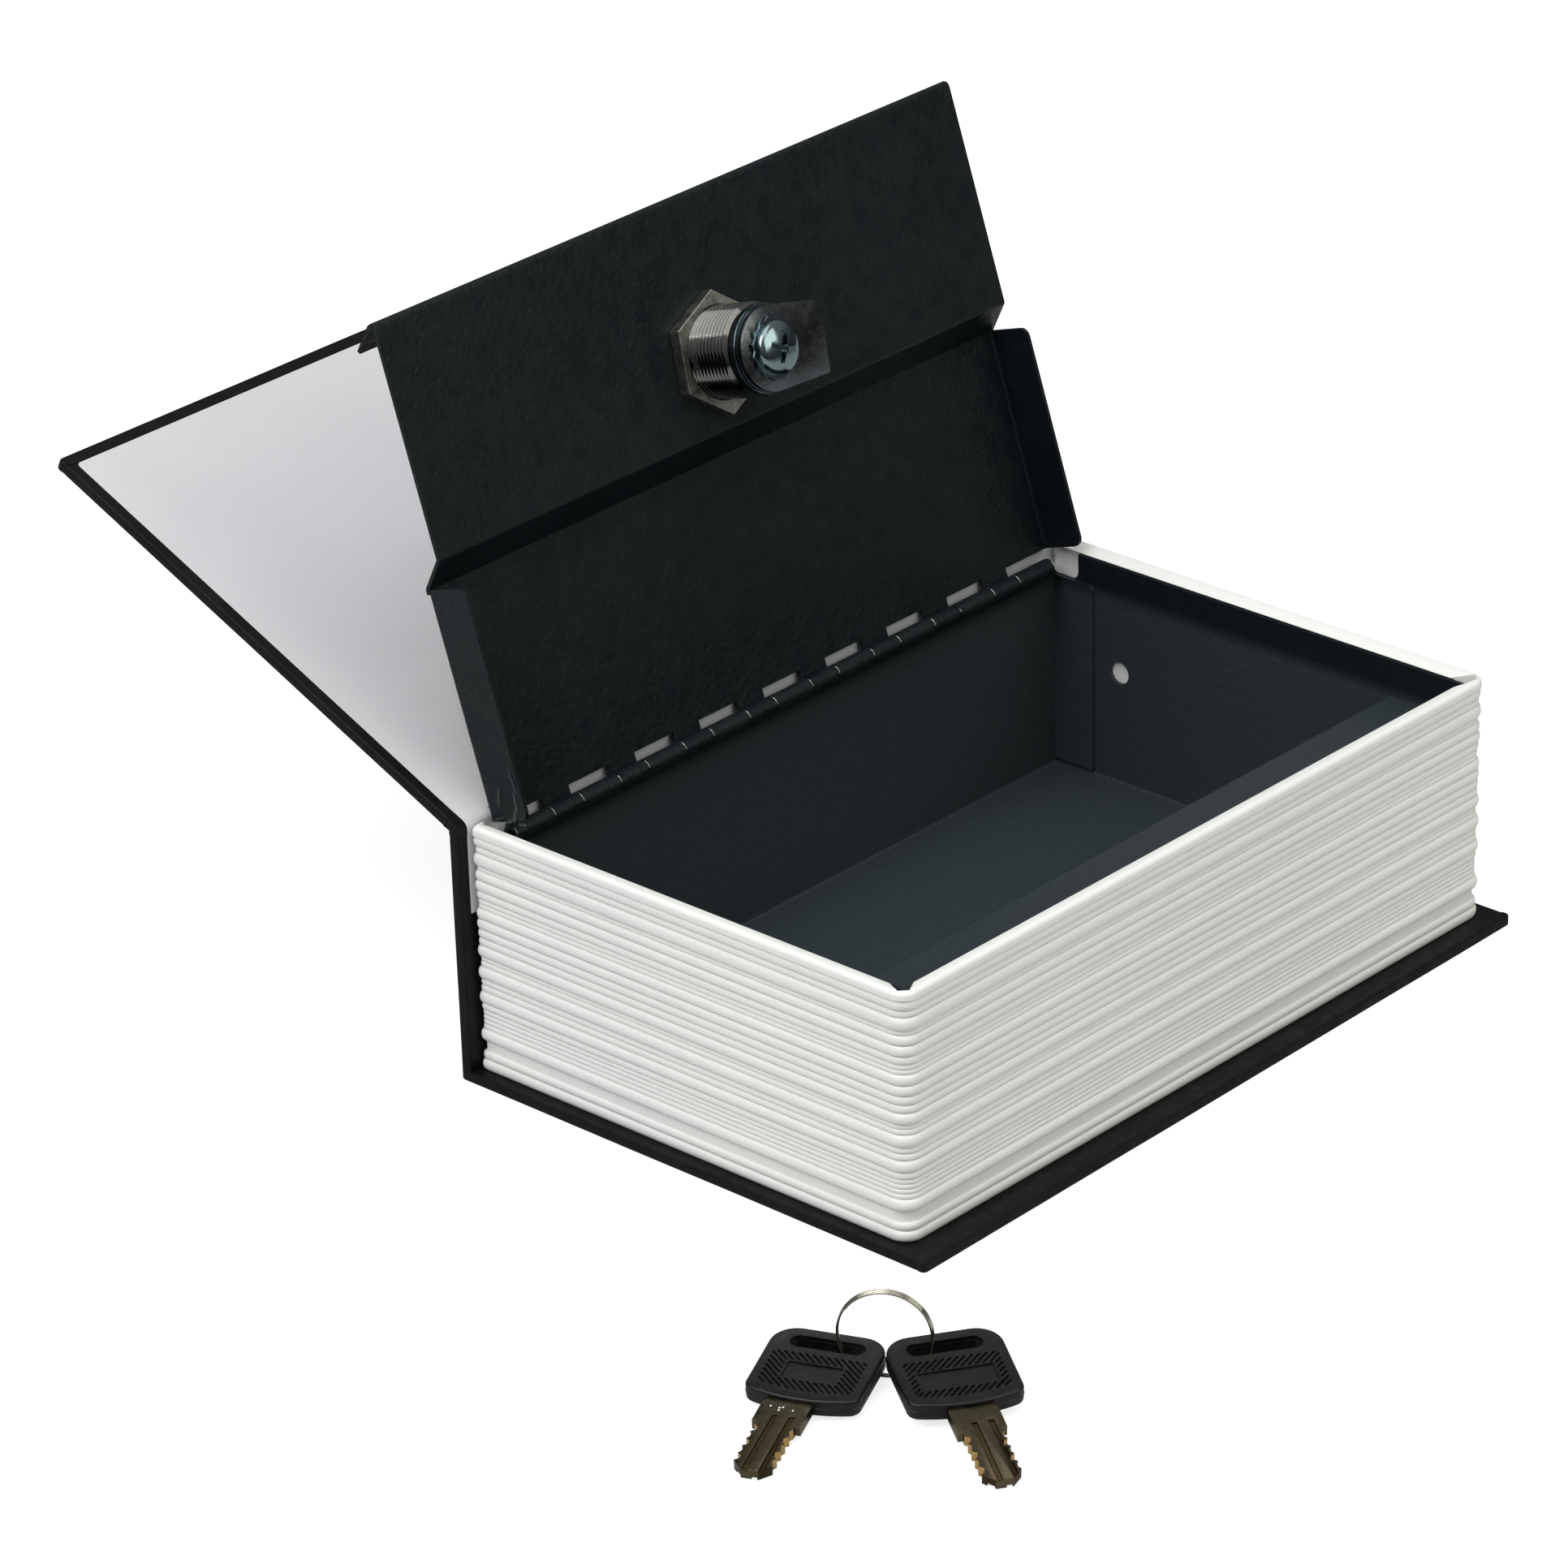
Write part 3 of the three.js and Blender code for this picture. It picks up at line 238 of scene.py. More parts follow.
white_plastic = dull(
    "white_plastic", (0.80, 0.81, 0.79), 0.42, tones=((0.79, 0.80, 0.78), (0.81, 0.82, 0.795)),
    patches=(12, 2), wear=(300, 0.40, 0.50), grains=[(900, 2.0, 0.002)],
)
black_plastic = dull(
    "black_plastic", (0.0045, 0.0045, 0.0042), 0.30,
    tones=((0.0035, 0.0035, 0.0032), (0.0060, 0.0060, 0.0056)), patches=(200, 4),
    wear=(500, 0.24, 0.42), grains=[(2600, 2.0, 0.03)], Specular_IOR_Level=0.3,
)
cloth = dull(
    "book_cloth", (0.0035, 0.0038, 0.0035), 0.44,
    tones=((0.0028, 0.0031, 0.0028), (0.0048, 0.0051, 0.0046)), patches=(120, 6),
    wear=(400, 0.38, 0.56), grains=[(1500, 3.0, 0.06), (3800, 1.0, 0.03)],
    Specular_IOR_Level=0.14,
)
grey_board = dull(
    "grey_board", (0.26, 0.24, 0.21), 0.85, tones=((0.20, 0.185, 0.16), (0.33, 0.31, 0.27)),
    patches=(700, 5), grains=[(1400, 4.0, 0.06)],
)
paper = dull(
    "endpaper", (0.600, 0.605, 0.625), 0.6, tones=((0.590, 0.595, 0.615), (0.610, 0.615, 0.635)),
    patches=(25, 5), grains=[(60, 3.0, 0.15, 0.5), (2500, 2.0, 0.01)],
)


# %% Metals
def plated(name, first, second, roughness, scratches=0.02):
    material, metal = principled(name, first, roughness[0], 1.0)
    tree = material.node_tree
    mottled(material, metal, first, second, 120, 0.3, 0.7, detail=4)
    worn_roughness(material, metal, 600, *roughness, detail=5)
    fine = noise_field(tree, 900, 2.0, stretch=(1, 1, 6))
    add_bump(tree, metal, fine, scratches * mm)
    return material


nickel = plated("nickel", (0.60, 0.60, 0.57), (0.70, 0.71, 0.70), (0.10, 0.24))
zinc = plated("zinc_plate", (0.16, 0.22, 0.24), (0.25, 0.32, 0.34), (0.08, 0.16), 0.012)
cam_zinc = plated("cam_zinc", (0.075, 0.084, 0.092), (0.140, 0.150, 0.162), (0.14, 0.28), 0.02)
brass = plated("brass", (0.42, 0.26, 0.09), (0.54, 0.36, 0.14), (0.22, 0.40))
lock_nickel = plated("lock_nickel", (0.13, 0.13, 0.125), (0.19, 0.19, 0.18), (0.07, 0.13), 0.006)
nut_nickel = plated("nut_nickel", (0.40, 0.40, 0.36), (0.52, 0.52, 0.47), (0.26, 0.38), 0.008)
ring_steel = plated("ring_steel", (0.34, 0.32, 0.26), (0.46, 0.44, 0.37), (0.08, 0.14), 0.004)
dark_steel = plated("dark_steel", (0.05, 0.05, 0.052), (0.09, 0.09, 0.09), (0.30, 0.50))
key_metal = plated("key_metal", (0.095, 0.078, 0.047), (0.140, 0.116, 0.074), (0.22, 0.34), 0.012)
key_groove = plated("key_groove", (0.040, 0.028, 0.012), (0.060, 0.045, 0.022), (0.30, 0.45), 0.01)
print("finishes:", len(bpy.data.materials))

# %% [markdown]
# ## Finishing the CAD solids
# A CAD node arrives as loose triangles, and its mesh may not be touched, but modifiers may ride
# on it. Weld joins the triangles, and a planar Decimate melts the flat ones into whole faces.
# Bevel then breaks the sharp edges, as a file, a paint film or a mould does. Sharp edges catch no
# light, so this one step does more for a metal piece than any texture.


# %% Modifiers for the CAD solids
MERGE_REACH, HAIR, FLAT_ANGLE, EDGE_ANGLE = 0.002 * mm, 0.001 * mm, radians(1), radians(38)
FILM, FINE = 0.12 * mm, 0.06 * mm


def soften(piece, width):
    for polygon in piece.data.polygons:
        polygon.use_smooth = True
    weld = piece.modifiers.new("weld", "WELD")
    weld.merge_threshold = MERGE_REACH
    melt = piece.modifiers.new("melt", "DECIMATE")
    melt.decimate_type = "DISSOLVE"
    melt.angle_limit = FLAT_ANGLE
    rounding = piece.modifiers.new("rounding", "BEVEL")
    rounding.width = width
    rounding.segments = 2
    rounding.limit_method = "ANGLE"
    rounding.angle_limit = EDGE_ANGLE
    shading = piece.modifiers.new("shading", "WEIGHTED_NORMAL")
    shading.keep_sharp = True


def dress(node, material, width):
    piece = nodes[node]
    piece.data.materials.clear()
    piece.data.materials.append(material)
    if width:
        soften(piece, width)


finishes = {
    "back_board": (grey_board, FINE),
    "spine_board": (grey_board, FINE),
    "back_endpaper": (paper, 0),
    "steel_box": (box_coat, FILM),
    "hinge_pin": (dark_steel, FINE),
    "front_board": (grey_board, FINE),
    "lid": (powder_coat, FILM),
    "lock_nut": (nut_nickel, 5 * FINE),
    "lock_plug": (lock_nickel, FINE),
    "stop_washer": (zinc, FINE),
    "toothed_washer": (zinc, FINE),
}
finishes.update({f"wafer_{number}": (brass, FINE) for number in range(1, 6)})
for node, (material, width) in finishes.items():
    dress(node, material, width)
print("dressed", len(finishes), "CAD nodes")

# %% [markdown]
# ## Making a piece
# A new piece starts as a bmesh, which is Blender's workshop for mesh operators. One helper turns
# the finished bmesh into an object. Another carves a piece with cutting shapes through Boolean
# modifiers, and then keeps the result as a plain mesh, so that nothing live is left on it. The
# last one smooths a piece up to a given angle and hands it to its body. Most operators give back
# a mixed list of corners, edges and faces, so a small helper picks out one kind.

# %% Helpers for pieces
BMVert, BMEdge, BMFace = bmesh.types.BMVert, bmesh.types.BMEdge, bmesh.types.BMFace


def only(kind, geom):
    return [item for item in geom if isinstance(item, kind)]


def bevelled(bm, geom, width, segments, affect="EDGES", **options):
    bmesh.ops.bevel(
        bm, geom=geom, offset=width, segments=segments, affect=affect, profile=0.5, material=-1,
        **options,
    )


def raised(bm, face, height):
    """Extrudes a face that stands alone into a prism."""
    top = only(BMVert, bmesh.ops.extrude_face_region(bm, geom=[face])["geom"])
    bmesh.ops.translate(bm, vec=(0, 0, height), verts=top)


def as_object(name, bm, material):
    bmesh.ops.recalc_face_normals(bm, faces=bm.faces)
    mesh = bpy.data.meshes.new(name)
    bm.to_mesh(mesh)
    bm.free()
    mesh.materials.append(material)
    piece = bpy.data.objects.new(name, mesh)
    bpy.context.scene.collection.objects.link(piece)
    return piece


def carved(piece, *tools, solver="EXACT"):
    for tool in tools:
        carving = piece.modifiers.new("carving", "BOOLEAN")
        carving.operation = "DIFFERENCE"
        carving.solver = solver
        carving.object = tool
    result = bpy.data.meshes.new_from_object(
        piece.evaluated_get(bpy.context.evaluated_depsgraph_get())
    )
    piece.modifiers.clear()
    piece.data = result
    for tool in tools:
        bpy.data.objects.remove(tool)
    return piece


def finished(piece, body, replaced=(), place=None, sharp=40):
    if place:
        piece.data.transform(place)
    for polygon in piece.data.polygons:
        polygon.use_smooth = True
    piece.data.set_sharp_from_angle(angle=radians(sharp))
    if body:
        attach(piece, body)
    if replaced:
        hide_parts(*replaced)
    print(piece.name, len(piece.data.polygons), "faces")
    return piece


def box_tool(name, low, high):
    bm = bmesh.new()
    bmesh.ops.create_cube(bm, size=1)
    low, high = Vector(low), Vector(high)
    bmesh.ops.scale(bm, vec=high - low, verts=bm.verts)
    bmesh.ops.translate(bm, vec=(low + high) / 2, verts=bm.verts)
    return as_object(name, bm, white_plastic)


# %% [markdown]
# ## The page block
# The white block is one moulding that looks like a stack of leaves. Its skin is a tower of rounded
# rectangles: each leaf swells out of a common groove depth, thick leaves more than thin ones. So
# the outline is made once, from one face with bevelled corners, and then extruded edge by edge up
# the tower. Real mouldings aren't perfect, so a slow noise lets the leaves wander a little.

# %% Sizes of the page block
block_low, block_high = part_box("page_block")
GROOVE_DEPTH = 0.75 * mm
SWELL_SHARE, SWELL_POWER = 0.30, 0.7
LEAF_HEIGHTS = [
    2.19, 1.43, 2.7, 1.01, 2.02, 2.27, 1.68, 1.1, 1.01, 2.19, 2.19, 1.85, 1.68, 2.36, 1.01, 1.18,
    2.53, 1.35, 1.43, 2.44, 1.52, 1.01, 1.01, 1.01, 1.1, 2.44,
]
FLAT_BAND, FOOT_LEAF = 2.4 * mm, 1.7 * mm
RIM_DROP, RIM_WIDTH, RIM_LIP, RIM_FALL = 1.9 * mm, 3.2 * mm, 0.5 * mm, 0.95 * mm
RIM_CROWN, RIM_STEP, LIP_THICK, LIP_SETBACK = 1.0 * mm, 0.12 * mm, 0.12 * mm, 0.2 * mm
SPINE_WALL, SPINE_WALL_DROP = 0.7 * mm, 5.7 * mm
TRAY_FLOOR = block_low[2] + 1.4 * mm
FORE_RADIUS, SPINE_RADIUS, TRAY_RADIUS = 4.5 * mm, 1.2 * mm, 0.5 * mm
CUT_SIDE, LONG_SIDE = 50 * mm, 140 * mm  # a side this long is cut, and one this long cut finer
END_CUTS, LONG_CUTS = 22, 34
LEVELS, CROWN_LEVELS = 8, 5


# %% Its outline
def vert_at(bm, place):
    return min(bm.verts, key=lambda vert: (vert.co - Vector(place)).length)


def round_corner(bm, place, radius, segments=8):
    bevelled(bm, [vert_at(bm, place)], radius, segments, affect="VERTICES")


def rounded_outline(bm, low, high, radii, z):
    """A closed loop of edges: a rectangle with rounded corners, whose long sides are cut."""
    (x0, y0), (x1, y1) = low[:2], high[:2]
    corners = [(x0, y0, z), (x1, y0, z), (x1, y1, z), (x0, y1, z)]
    earlier = set(bm.edges)
    face = bm.faces.new([bm.verts.new(corner) for corner in corners])
    for corner, radius in zip(corners, radii):
        round_corner(bm, corner, radius)
    sides = [edge for edge in bm.edges if edge not in earlier and edge.calc_length() > CUT_SIDE]
    for side in sides:
        cuts = LONG_CUTS if side.calc_length() > LONG_SIDE else END_CUTS
        bmesh.ops.subdivide_edges(bm, edges=[side], cuts=cuts)
    loop = [edge for edge in bm.edges if edge not in earlier]
    bmesh.ops.delete(bm, geom=list(loop[0].link_faces), context="FACES_ONLY")
    return loop


def next_level(bm, loop, inset, rise):
    """Extrudes the loop and moves it in by an inset and up by a rise."""
    grown = bmesh.ops.extrude_edge_only(bm, edges=loop)["geom"]
    verts = only(BMVert, grown)
    across, along = [vert.co.x for vert in verts], [vert.co.y for vert in verts]
    width, length = max(across) - min(across), max(along) - min(along)
    middle = Vector((max(across) - width / 2, max(along) - length / 2, 0))
    shrink = (1 - 2 * inset / width, 1 - 2 * inset / length, 1)
    bmesh.ops.scale(bm, vec=shrink, verts=verts, space=Matrix.Translation(-middle))
    bmesh.ops.translate(bm, vec=(0, 0, rise), verts=verts)
    return only(BMEdge, grown)


# %% Its tower of leaves
def leaf(bm, loop, height):
    """One swollen leaf, built upwards from the groove below it."""
    swell = min(SWELL_SHARE * height, GROOVE_DEPTH)
    outward = [swell * sin(pi * step / LEVELS) ** SWELL_POWER for step in range(LEVELS + 1)]
    heights = [height * (1 - cos(pi * step / LEVELS)) / 2 for step in range(LEVELS + 1)]
    for step in range(LEVELS):
        inset = outward[step] - outward[step + 1]
        loop = next_level(bm, loop, inset, heights[step + 1] - heights[step])
    return loop


def page_tower(bm):
    low, high = Vector(block_low), Vector(block_high)
    inset = Vector((GROOVE_DEPTH, GROOVE_DEPTH, 0))
    radii = [SPINE_RADIUS] + [FORE_RADIUS - GROOVE_DEPTH] * 2 + [SPINE_RADIUS]
    loop = foot = rounded_outline(bm, low + inset, high - inset, radii, low.z)
    leaves = [height * mm for height in LEAF_HEIGHTS]
    last = (high.z - low.z) - RIM_DROP - sum(leaves) - FLAT_BAND - FOOT_LEAF
    for height in (last, FOOT_LEAF):
        loop = leaf(bm, loop, height)
    loop = next_level(bm, loop, 0, FLAT_BAND)
    for height in reversed(leaves):
        loop = leaf(bm, loop, height)
    return foot, loop


page_bm = bmesh.new()
foot_loop, loop = page_tower(page_bm)
print("leaves:", len(LEAF_HEIGHTS) + 2)

# %% Its rim, inside and floor
turns = [pi / 2 * step / CROWN_LEVELS for step in range(CROWN_LEVELS + 1)]
loop = next_level(page_bm, loop, -GROOVE_DEPTH, RIM_STEP)
loop = next_level(page_bm, loop, 0, RIM_DROP - RIM_CROWN - RIM_STEP)
for turn, further in zip(turns, turns[1:]):
    inset, rise = cos(turn) - cos(further), sin(further) - sin(turn)
    loop = next_level(page_bm, loop, RIM_CROWN * inset, RIM_CROWN * rise)
tray_low = (block_low[0] + SPINE_WALL, block_low[1] + RIM_WIDTH)
tray_high = (block_high[0] - RIM_WIDTH, block_high[1] - RIM_WIDTH)
for vert in page_bm.verts:
    if vert.co.x < block_low[0] + 2 * GROOVE_DEPTH and abs(vert.co.y) < tray_high[1] - GROOVE_DEPTH:
        vert.co.x = block_low[0]
lip_low = (tray_low[0] + LIP_SETBACK, tray_low[1] + RIM_LIP)
lip_high = (tray_high[0] - RIM_LIP, tray_high[1] - RIM_LIP)
mouth = rounded_outline(page_bm, lip_low, lip_high, [TRAY_RADIUS] * 4, block_high[2] - RIM_FALL)
bmesh.ops.bridge_loops(page_bm, edges=loop + mouth)
inner = next_level(page_bm, mouth, 0, -LIP_THICK)
inner = next_level(page_bm, inner, -RIM_LIP, 0)
for vert in {vert for edge in inner for vert in edge.verts}:
    vert.co.x = max(vert.co.x, tray_low[0])
drop = TRAY_FLOOR - (block_high[2] - RIM_FALL - LIP_THICK)
floor_loop = next_level(page_bm, inner, 0, drop)
bmesh.ops.edgeloop_fill(page_bm, edges=floor_loop)
bmesh.ops.edgeloop_fill(page_bm, edges=foot_loop)
print("open edges:", sum(1 for edge in page_bm.edges if edge.is_boundary))

# %% Its small unevenness
WANDER, BULGE = 0.045 * mm, 0.0135 * mm
ALONG_CELLS, BULGE_CELLS, UP_CELLS, BULGE_START = 16, 24, 90, 7
for vert in page_bm.verts:
    x, y, z = vert.co
    fade = max(0, min(1, (block_high[2] - RIM_CROWN - z) / mm, (z - block_low[2]) / mm))
    up = z * UP_CELLS
    wave = noise.noise(Vector((x * ALONG_CELLS, y * ALONG_CELLS, up)))
    outward = noise.noise(Vector((x * BULGE_CELLS + BULGE_START, y * BULGE_CELLS, up)))
    at_fore, at_end = x > tray_high[0] + mm, abs(y) > tray_high[1] + mm
    if at_fore or at_end:
        vert.co.z += WANDER * wave * fade
        vert.co.y += BULGE * outward * fade * at_end
        vert.co.x += BULGE * outward * fade * at_fore
page_block = as_object("page_block_leaves", page_bm, white_plastic)


# %% Its cuts
RELIEF_DEPTH, ABOVE_RIM = 12 * mm, 3 * mm
OUTSIDE, PAST_TRAY, PAST_WALL = 5 * mm, 0.3 * mm, 0.5 * mm


def corner_relief(end):
    """A tapered slot on the diagonal of the rim's inner corner."""
    bm = bmesh.new()
    mouth, reach, width = 2.2 * mm, 2.6 * mm, 1.15 * mm
    outline = [(-mouth, -mouth), (reach, -width), (reach, width), (-mouth, mouth)]
    face = bm.faces.new([bm.verts.new((x, y, -RELIEF_DEPTH)) for x, y in outline])
    raised(bm, face, RELIEF_DEPTH + ABOVE_RIM)
    bmesh.ops.rotate(bm, matrix=Matrix.Rotation(end * pi / 4, 3, "Z"), verts=bm.verts)
    place = Vector((lip_high[0], end * lip_high[1], block_high[2]))
    bmesh.ops.translate(bm, vec=place, verts=bm.verts)
    return as_object("corner_relief", bm, white_plastic)


wall_cut = box_tool(
    "spine_wall_cut",
    (block_low[0] - OUTSIDE, tray_low[1] - PAST_TRAY, block_high[2] - SPINE_WALL_DROP),
    (tray_low[0] + PAST_WALL, tray_high[1] + PAST_TRAY, block_high[2] + OUTSIDE),
)
carved(page_block, wall_cut, corner_relief(1), corner_relief(-1))
finished(page_block, "case", ["page_block"], sharp=32)

# %% [markdown]
# ## The binding
# The hard cover is grey board in book cloth. The cloth is glued round the boards, turned in over
# their edges, and leaves the joint free to bend. Each wrap is a slab with rounded edges and a
# hollow for its board. It starts as the same kind of outline as the page block, and is grown level
# by level. Cloth pulled over a board is never quite straight, so a slow noise moves its edges.

# %% Sizes of the binding
COVER_END, CLOTH, TURN_IN = 90 * mm, 0.35 * mm, 14 * mm
COVER_THICK, SPINE_THICK, SPINE_TOP = 2.2 * mm, 2.45 * mm, 54.1 * mm
COVER_FORE, COVER_BACK, BOARD_FOOT, SPINE_FOOT = 57.6 * mm, -58.05 * mm, -54.1 * mm, 2.55 * mm
COVER_JOINT, COVER_REACH, COVER_OPEN = 1.6 * mm, 115.2 * mm, radians(156)
BOARD_SETBACK, SPINE_SETOFF, SPINE_BOARD_TOP = 1 * mm, 0.7 * mm, 2 * mm
BACK_CORNER, SPINE_CORNER, FRONT_CORNER, FOLD_CORNER = 0.8 * mm, 0.5 * mm, 1.2 * mm, 1.0 * mm
EDGE_ROUND, EDGE_LEVELS = 0.34 * mm, 4
EDGE_WANDER, EDGE_CELLS, SIDE_CELLS = 0.09 * mm, 35, 90
SKEW_LEAST, SKEW_SPAN = 0.2 * mm, 1.6 * mm
cover_axis = Vector((-56.6 * mm, 0, 54.6 * mm))
front_place = Matrix.Translation(cover_axis) @ Matrix.Rotation(-COVER_OPEN, 4, "Y")
spine_lean = atan(SPINE_SETOFF / SPINE_TOP)
spine_turn = Matrix.Rotation(-pi / 2 - spine_lean, 4, "Y")
spine_place = Matrix.Translation((block_low[0], 0, 0)) @ spine_turn


# %% A board's wrap of cloth
def covered_slab(low, high, corner):
    """A slab with rounded edges and corners, whose sides are slightly uneven."""
    bm = bmesh.new()
    low, high = Vector(low), Vector(high)
    inset = Vector((EDGE_ROUND, EDGE_ROUND, 0))
    foot = loop = rounded_outline(bm, low + inset, high - inset, [corner] * 4, low.z)
    turns = [pi / 2 * step / EDGE_LEVELS for step in range(EDGE_LEVELS + 1)]
    quarter = [(sin(b) - sin(a), cos(a) - cos(b)) for a, b in zip(turns, turns[1:])]
    for spread, rise in quarter:
        loop = next_level(bm, loop, -EDGE_ROUND * spread, EDGE_ROUND * rise)
    loop = next_level(bm, loop, 0, high.z - low.z - 2 * EDGE_ROUND)
    for spread, rise in reversed(quarter):
        loop = next_level(bm, loop, EDGE_ROUND * spread, EDGE_ROUND * rise)
    bmesh.ops.edgeloop_fill(bm, edges=foot)
    bmesh.ops.edgeloop_fill(bm, edges=loop)
    for vert in bm.verts:
        x, y, z = vert.co
        vert.co.x += EDGE_WANDER * noise.noise(Vector((3, y * EDGE_CELLS, z * SIDE_CELLS)))
        vert.co.y += EDGE_WANDER * noise.noise(Vector((x * EDGE_CELLS, 5, z * SIDE_CELLS)))
    return bm


def board_tools(low, high, thick, inside):
    """The hollow for a board, and the opening between the turn-ins on the wrap's inside."""
    end = COVER_END - CLOTH
    room = box_tool("board_room", (low, -end, CLOTH), (high, end, thick - CLOTH))
    face = (thick / 2, 3 * thick) if inside == "top" else (-2 * thick, thick / 2)
    open_end = COVER_END - TURN_IN
    opening = box_tool(
        "turn_in_opening",
        (low + TURN_IN, -open_end, face[0]),
        (high - TURN_IN, open_end, face[1]),
    )
    return room, opening


# %% The back cover, the spine and the front cover
def askew(bm):
    """The back cover's fore edge is cut a little askew, as on the book in the picture."""
    for vert in bm.verts:
        if vert.co.x > COVER_FORE / 2:
            vert.co.x += SKEW_LEAST + SKEW_SPAN * (COVER_END - vert.co.y) / (2 * COVER_END)
    return bm


back_low, back_high = (COVER_BACK, -COVER_END, 0), (COVER_FORE, COVER_END, COVER_THICK)
front_low, front_high = (COVER_JOINT, -COVER_END, 0), (COVER_REACH, COVER_END, COVER_THICK)
back_bm = askew(covered_slab(back_low, back_high, BACK_CORNER))
back_wrap = as_object("back_cover_cloth", back_bm, cloth)
carved(back_wrap, *board_tools(BOARD_FOOT, COVER_FORE - CLOTH, COVER_THICK, "top"))
finished(back_wrap, "case", ["cover_cloth"], sharp=50)

spine_low, spine_high = (0, -COVER_END, 0), (SPINE_TOP, COVER_END, SPINE_THICK)
spine_wrap = as_object("spine_cloth", covered_slab(spine_low, spine_high, SPINE_CORNER), cloth)
carved(spine_wrap, *board_tools(SPINE_FOOT, SPINE_TOP - CLOTH, SPINE_BOARD_TOP, "bottom"))
finished(spine_wrap, "case", ["cover_cloth"], spine_place, 50)

front_bm = covered_slab(front_low, front_high, FRONT_CORNER)
front_wrap = as_object("front_cover_cloth", front_bm, cloth)
board_reach = COVER_REACH - BOARD_SETBACK - CLOTH
carved(front_wrap, *board_tools(COVER_JOINT + CLOTH, board_reach, COVER_THICK, "bottom"))
finished(front_wrap, "front_cover", ["front_cloth"], front_place, 50)


# %% [markdown]
# A case maker turns in the long edges first, and folds the fore edge over them, a little round
# each corner. So a second layer of cloth wraps each fore edge. It is the same kind of slab, a
# little larger, cut off on the slant at both corners by bisecting planes, with a hollow for the
# first wrap.

# %% The turned-in cloth of the fore edges
FOLD_OVER, FOLD_LAP, FOLD_SUNK = 0.14 * mm, 1.4 * mm, 0.02 * mm
BACK_FOLD, FRONT_FOLD = 4 * mm, 2.5 * mm


def fore_fold(low, high, depth, inside):
    low, high = Vector(low), Vector(high)
    start = low - Vector((0, FOLD_OVER, 0))
    stop = high + Vector((FOLD_OVER, FOLD_OVER, 0))
    if inside == "top":
        start.z, stop.z = FOLD_SUNK, high.z + FOLD_OVER
    else:
        start.z, stop.z = -FOLD_OVER, high.z - FOLD_SUNK
    bm = covered_slab(start, stop, FOLD_CORNER)
    cuts = [((high.x - depth, 0, 0), (-1, 0, 0))]
    cuts += [((high.x - FOLD_LAP, side * COVER_END, 0), (-1, side, 0)) for side in (1, -1)]
    for place, away in cuts:
        geom = bm.verts[:] + bm.edges[:] + bm.faces[:]
        cut = bmesh.ops.bisect_plane(
            bm, geom=geom, dist=0.001 * mm, plane_co=place, plane_no=away, clear_outer=True
        )
        bmesh.ops.edgeloop_fill(bm, edges=only(BMEdge, cut["geom_cut"]))
    return bm


def fold_hollow(high):
    """What the first wrap takes up inside the fold."""
    inner = Vector(high) - Vector((1, 1, 1)) * CLOTH
    return box_tool("fold_hollow", (high[0] / 2, -inner.y, CLOTH), inner)


bm = askew(fore_fold(back_low, back_high, BACK_FOLD, "top"))
back_fold = carved(as_object("back_cover_fore_fold", bm, cloth), fold_hollow(back_high))
finished(back_fold, "case", sharp=50)
bm = fore_fold(front_low, front_high, FRONT_FOLD, "bottom")
front_fold = carved(as_object("front_cover_fore_fold", bm, cloth), fold_hollow(front_high))
finished(front_fold, "front_cover", place=front_place, sharp=50)

# %% [markdown]
# ## The joint
# The free cloth between spine and cover gathers into a soft fold when the cover lies open. Its
# section is drawn at rest and pulled out along the joint, and it stays where it is drawn.

# %% The cloth of the joint
JOINT_SETBACK, JOINT_CUTS = 0.15 * mm, 60
JOINT_WANDER, JOINT_CELLS, SECTION_CELLS = 0.07 * mm, 45, 200
along_cover = Vector((-cos(pi - COVER_OPEN), 0, sin(pi - COVER_OPEN)))
cover_inward = Vector((along_cover.z, 0, -along_cover.x))


def on_cover(reach, inward):
    """A point of the joint's section, given along the open cover and inward from its inner face."""
    point = cover_axis / mm + along_cover * reach + cover_inward * inward
    return (point.x, point.z)


section = [on_cover(3.0, 0.04), (-58.05, 55.29), (-57.35, 55.02), (-56.75, 54.65), (-56.35, 54.2)]
section += [(-56.12, 53.6), (-56.12, 52.3), (-58.77, 52.3), (-58.79, 52.65), (-58.8, 53.0)]
section += [(-58.75, 53.25), (-58.97, 53.2), on_cover(1.95, -2.24), on_cover(2.3, -2.24)]
section += [on_cover(3.0, -2.24)]


def pulled_along(points, end, cuts, closed):
    """A section in X and Z, in millimetres, extruded along Y and cut across for a slight wave."""
    bm = bmesh.new()
    verts = [bm.verts.new((x * mm, -end, z * mm)) for x, z in points]
    if closed:
        geom = [bm.faces.new(verts)]
        grown = bmesh.ops.extrude_face_region(bm, geom=geom)["geom"]
    else:
        edges = [bm.edges.new(pair) for pair in zip(verts, verts[1:])]
        grown = bmesh.ops.extrude_edge_only(bm, edges=edges)["geom"]
    bmesh.ops.translate(bm, vec=(0, 2 * end, 0), verts=only(BMVert, grown))
    long = [edge for edge in bm.edges if edge.calc_length() > 1.9 * end]
    bmesh.ops.subdivide_edges(bm, edges=long, cuts=cuts, use_grid_fill=True)
    return bm


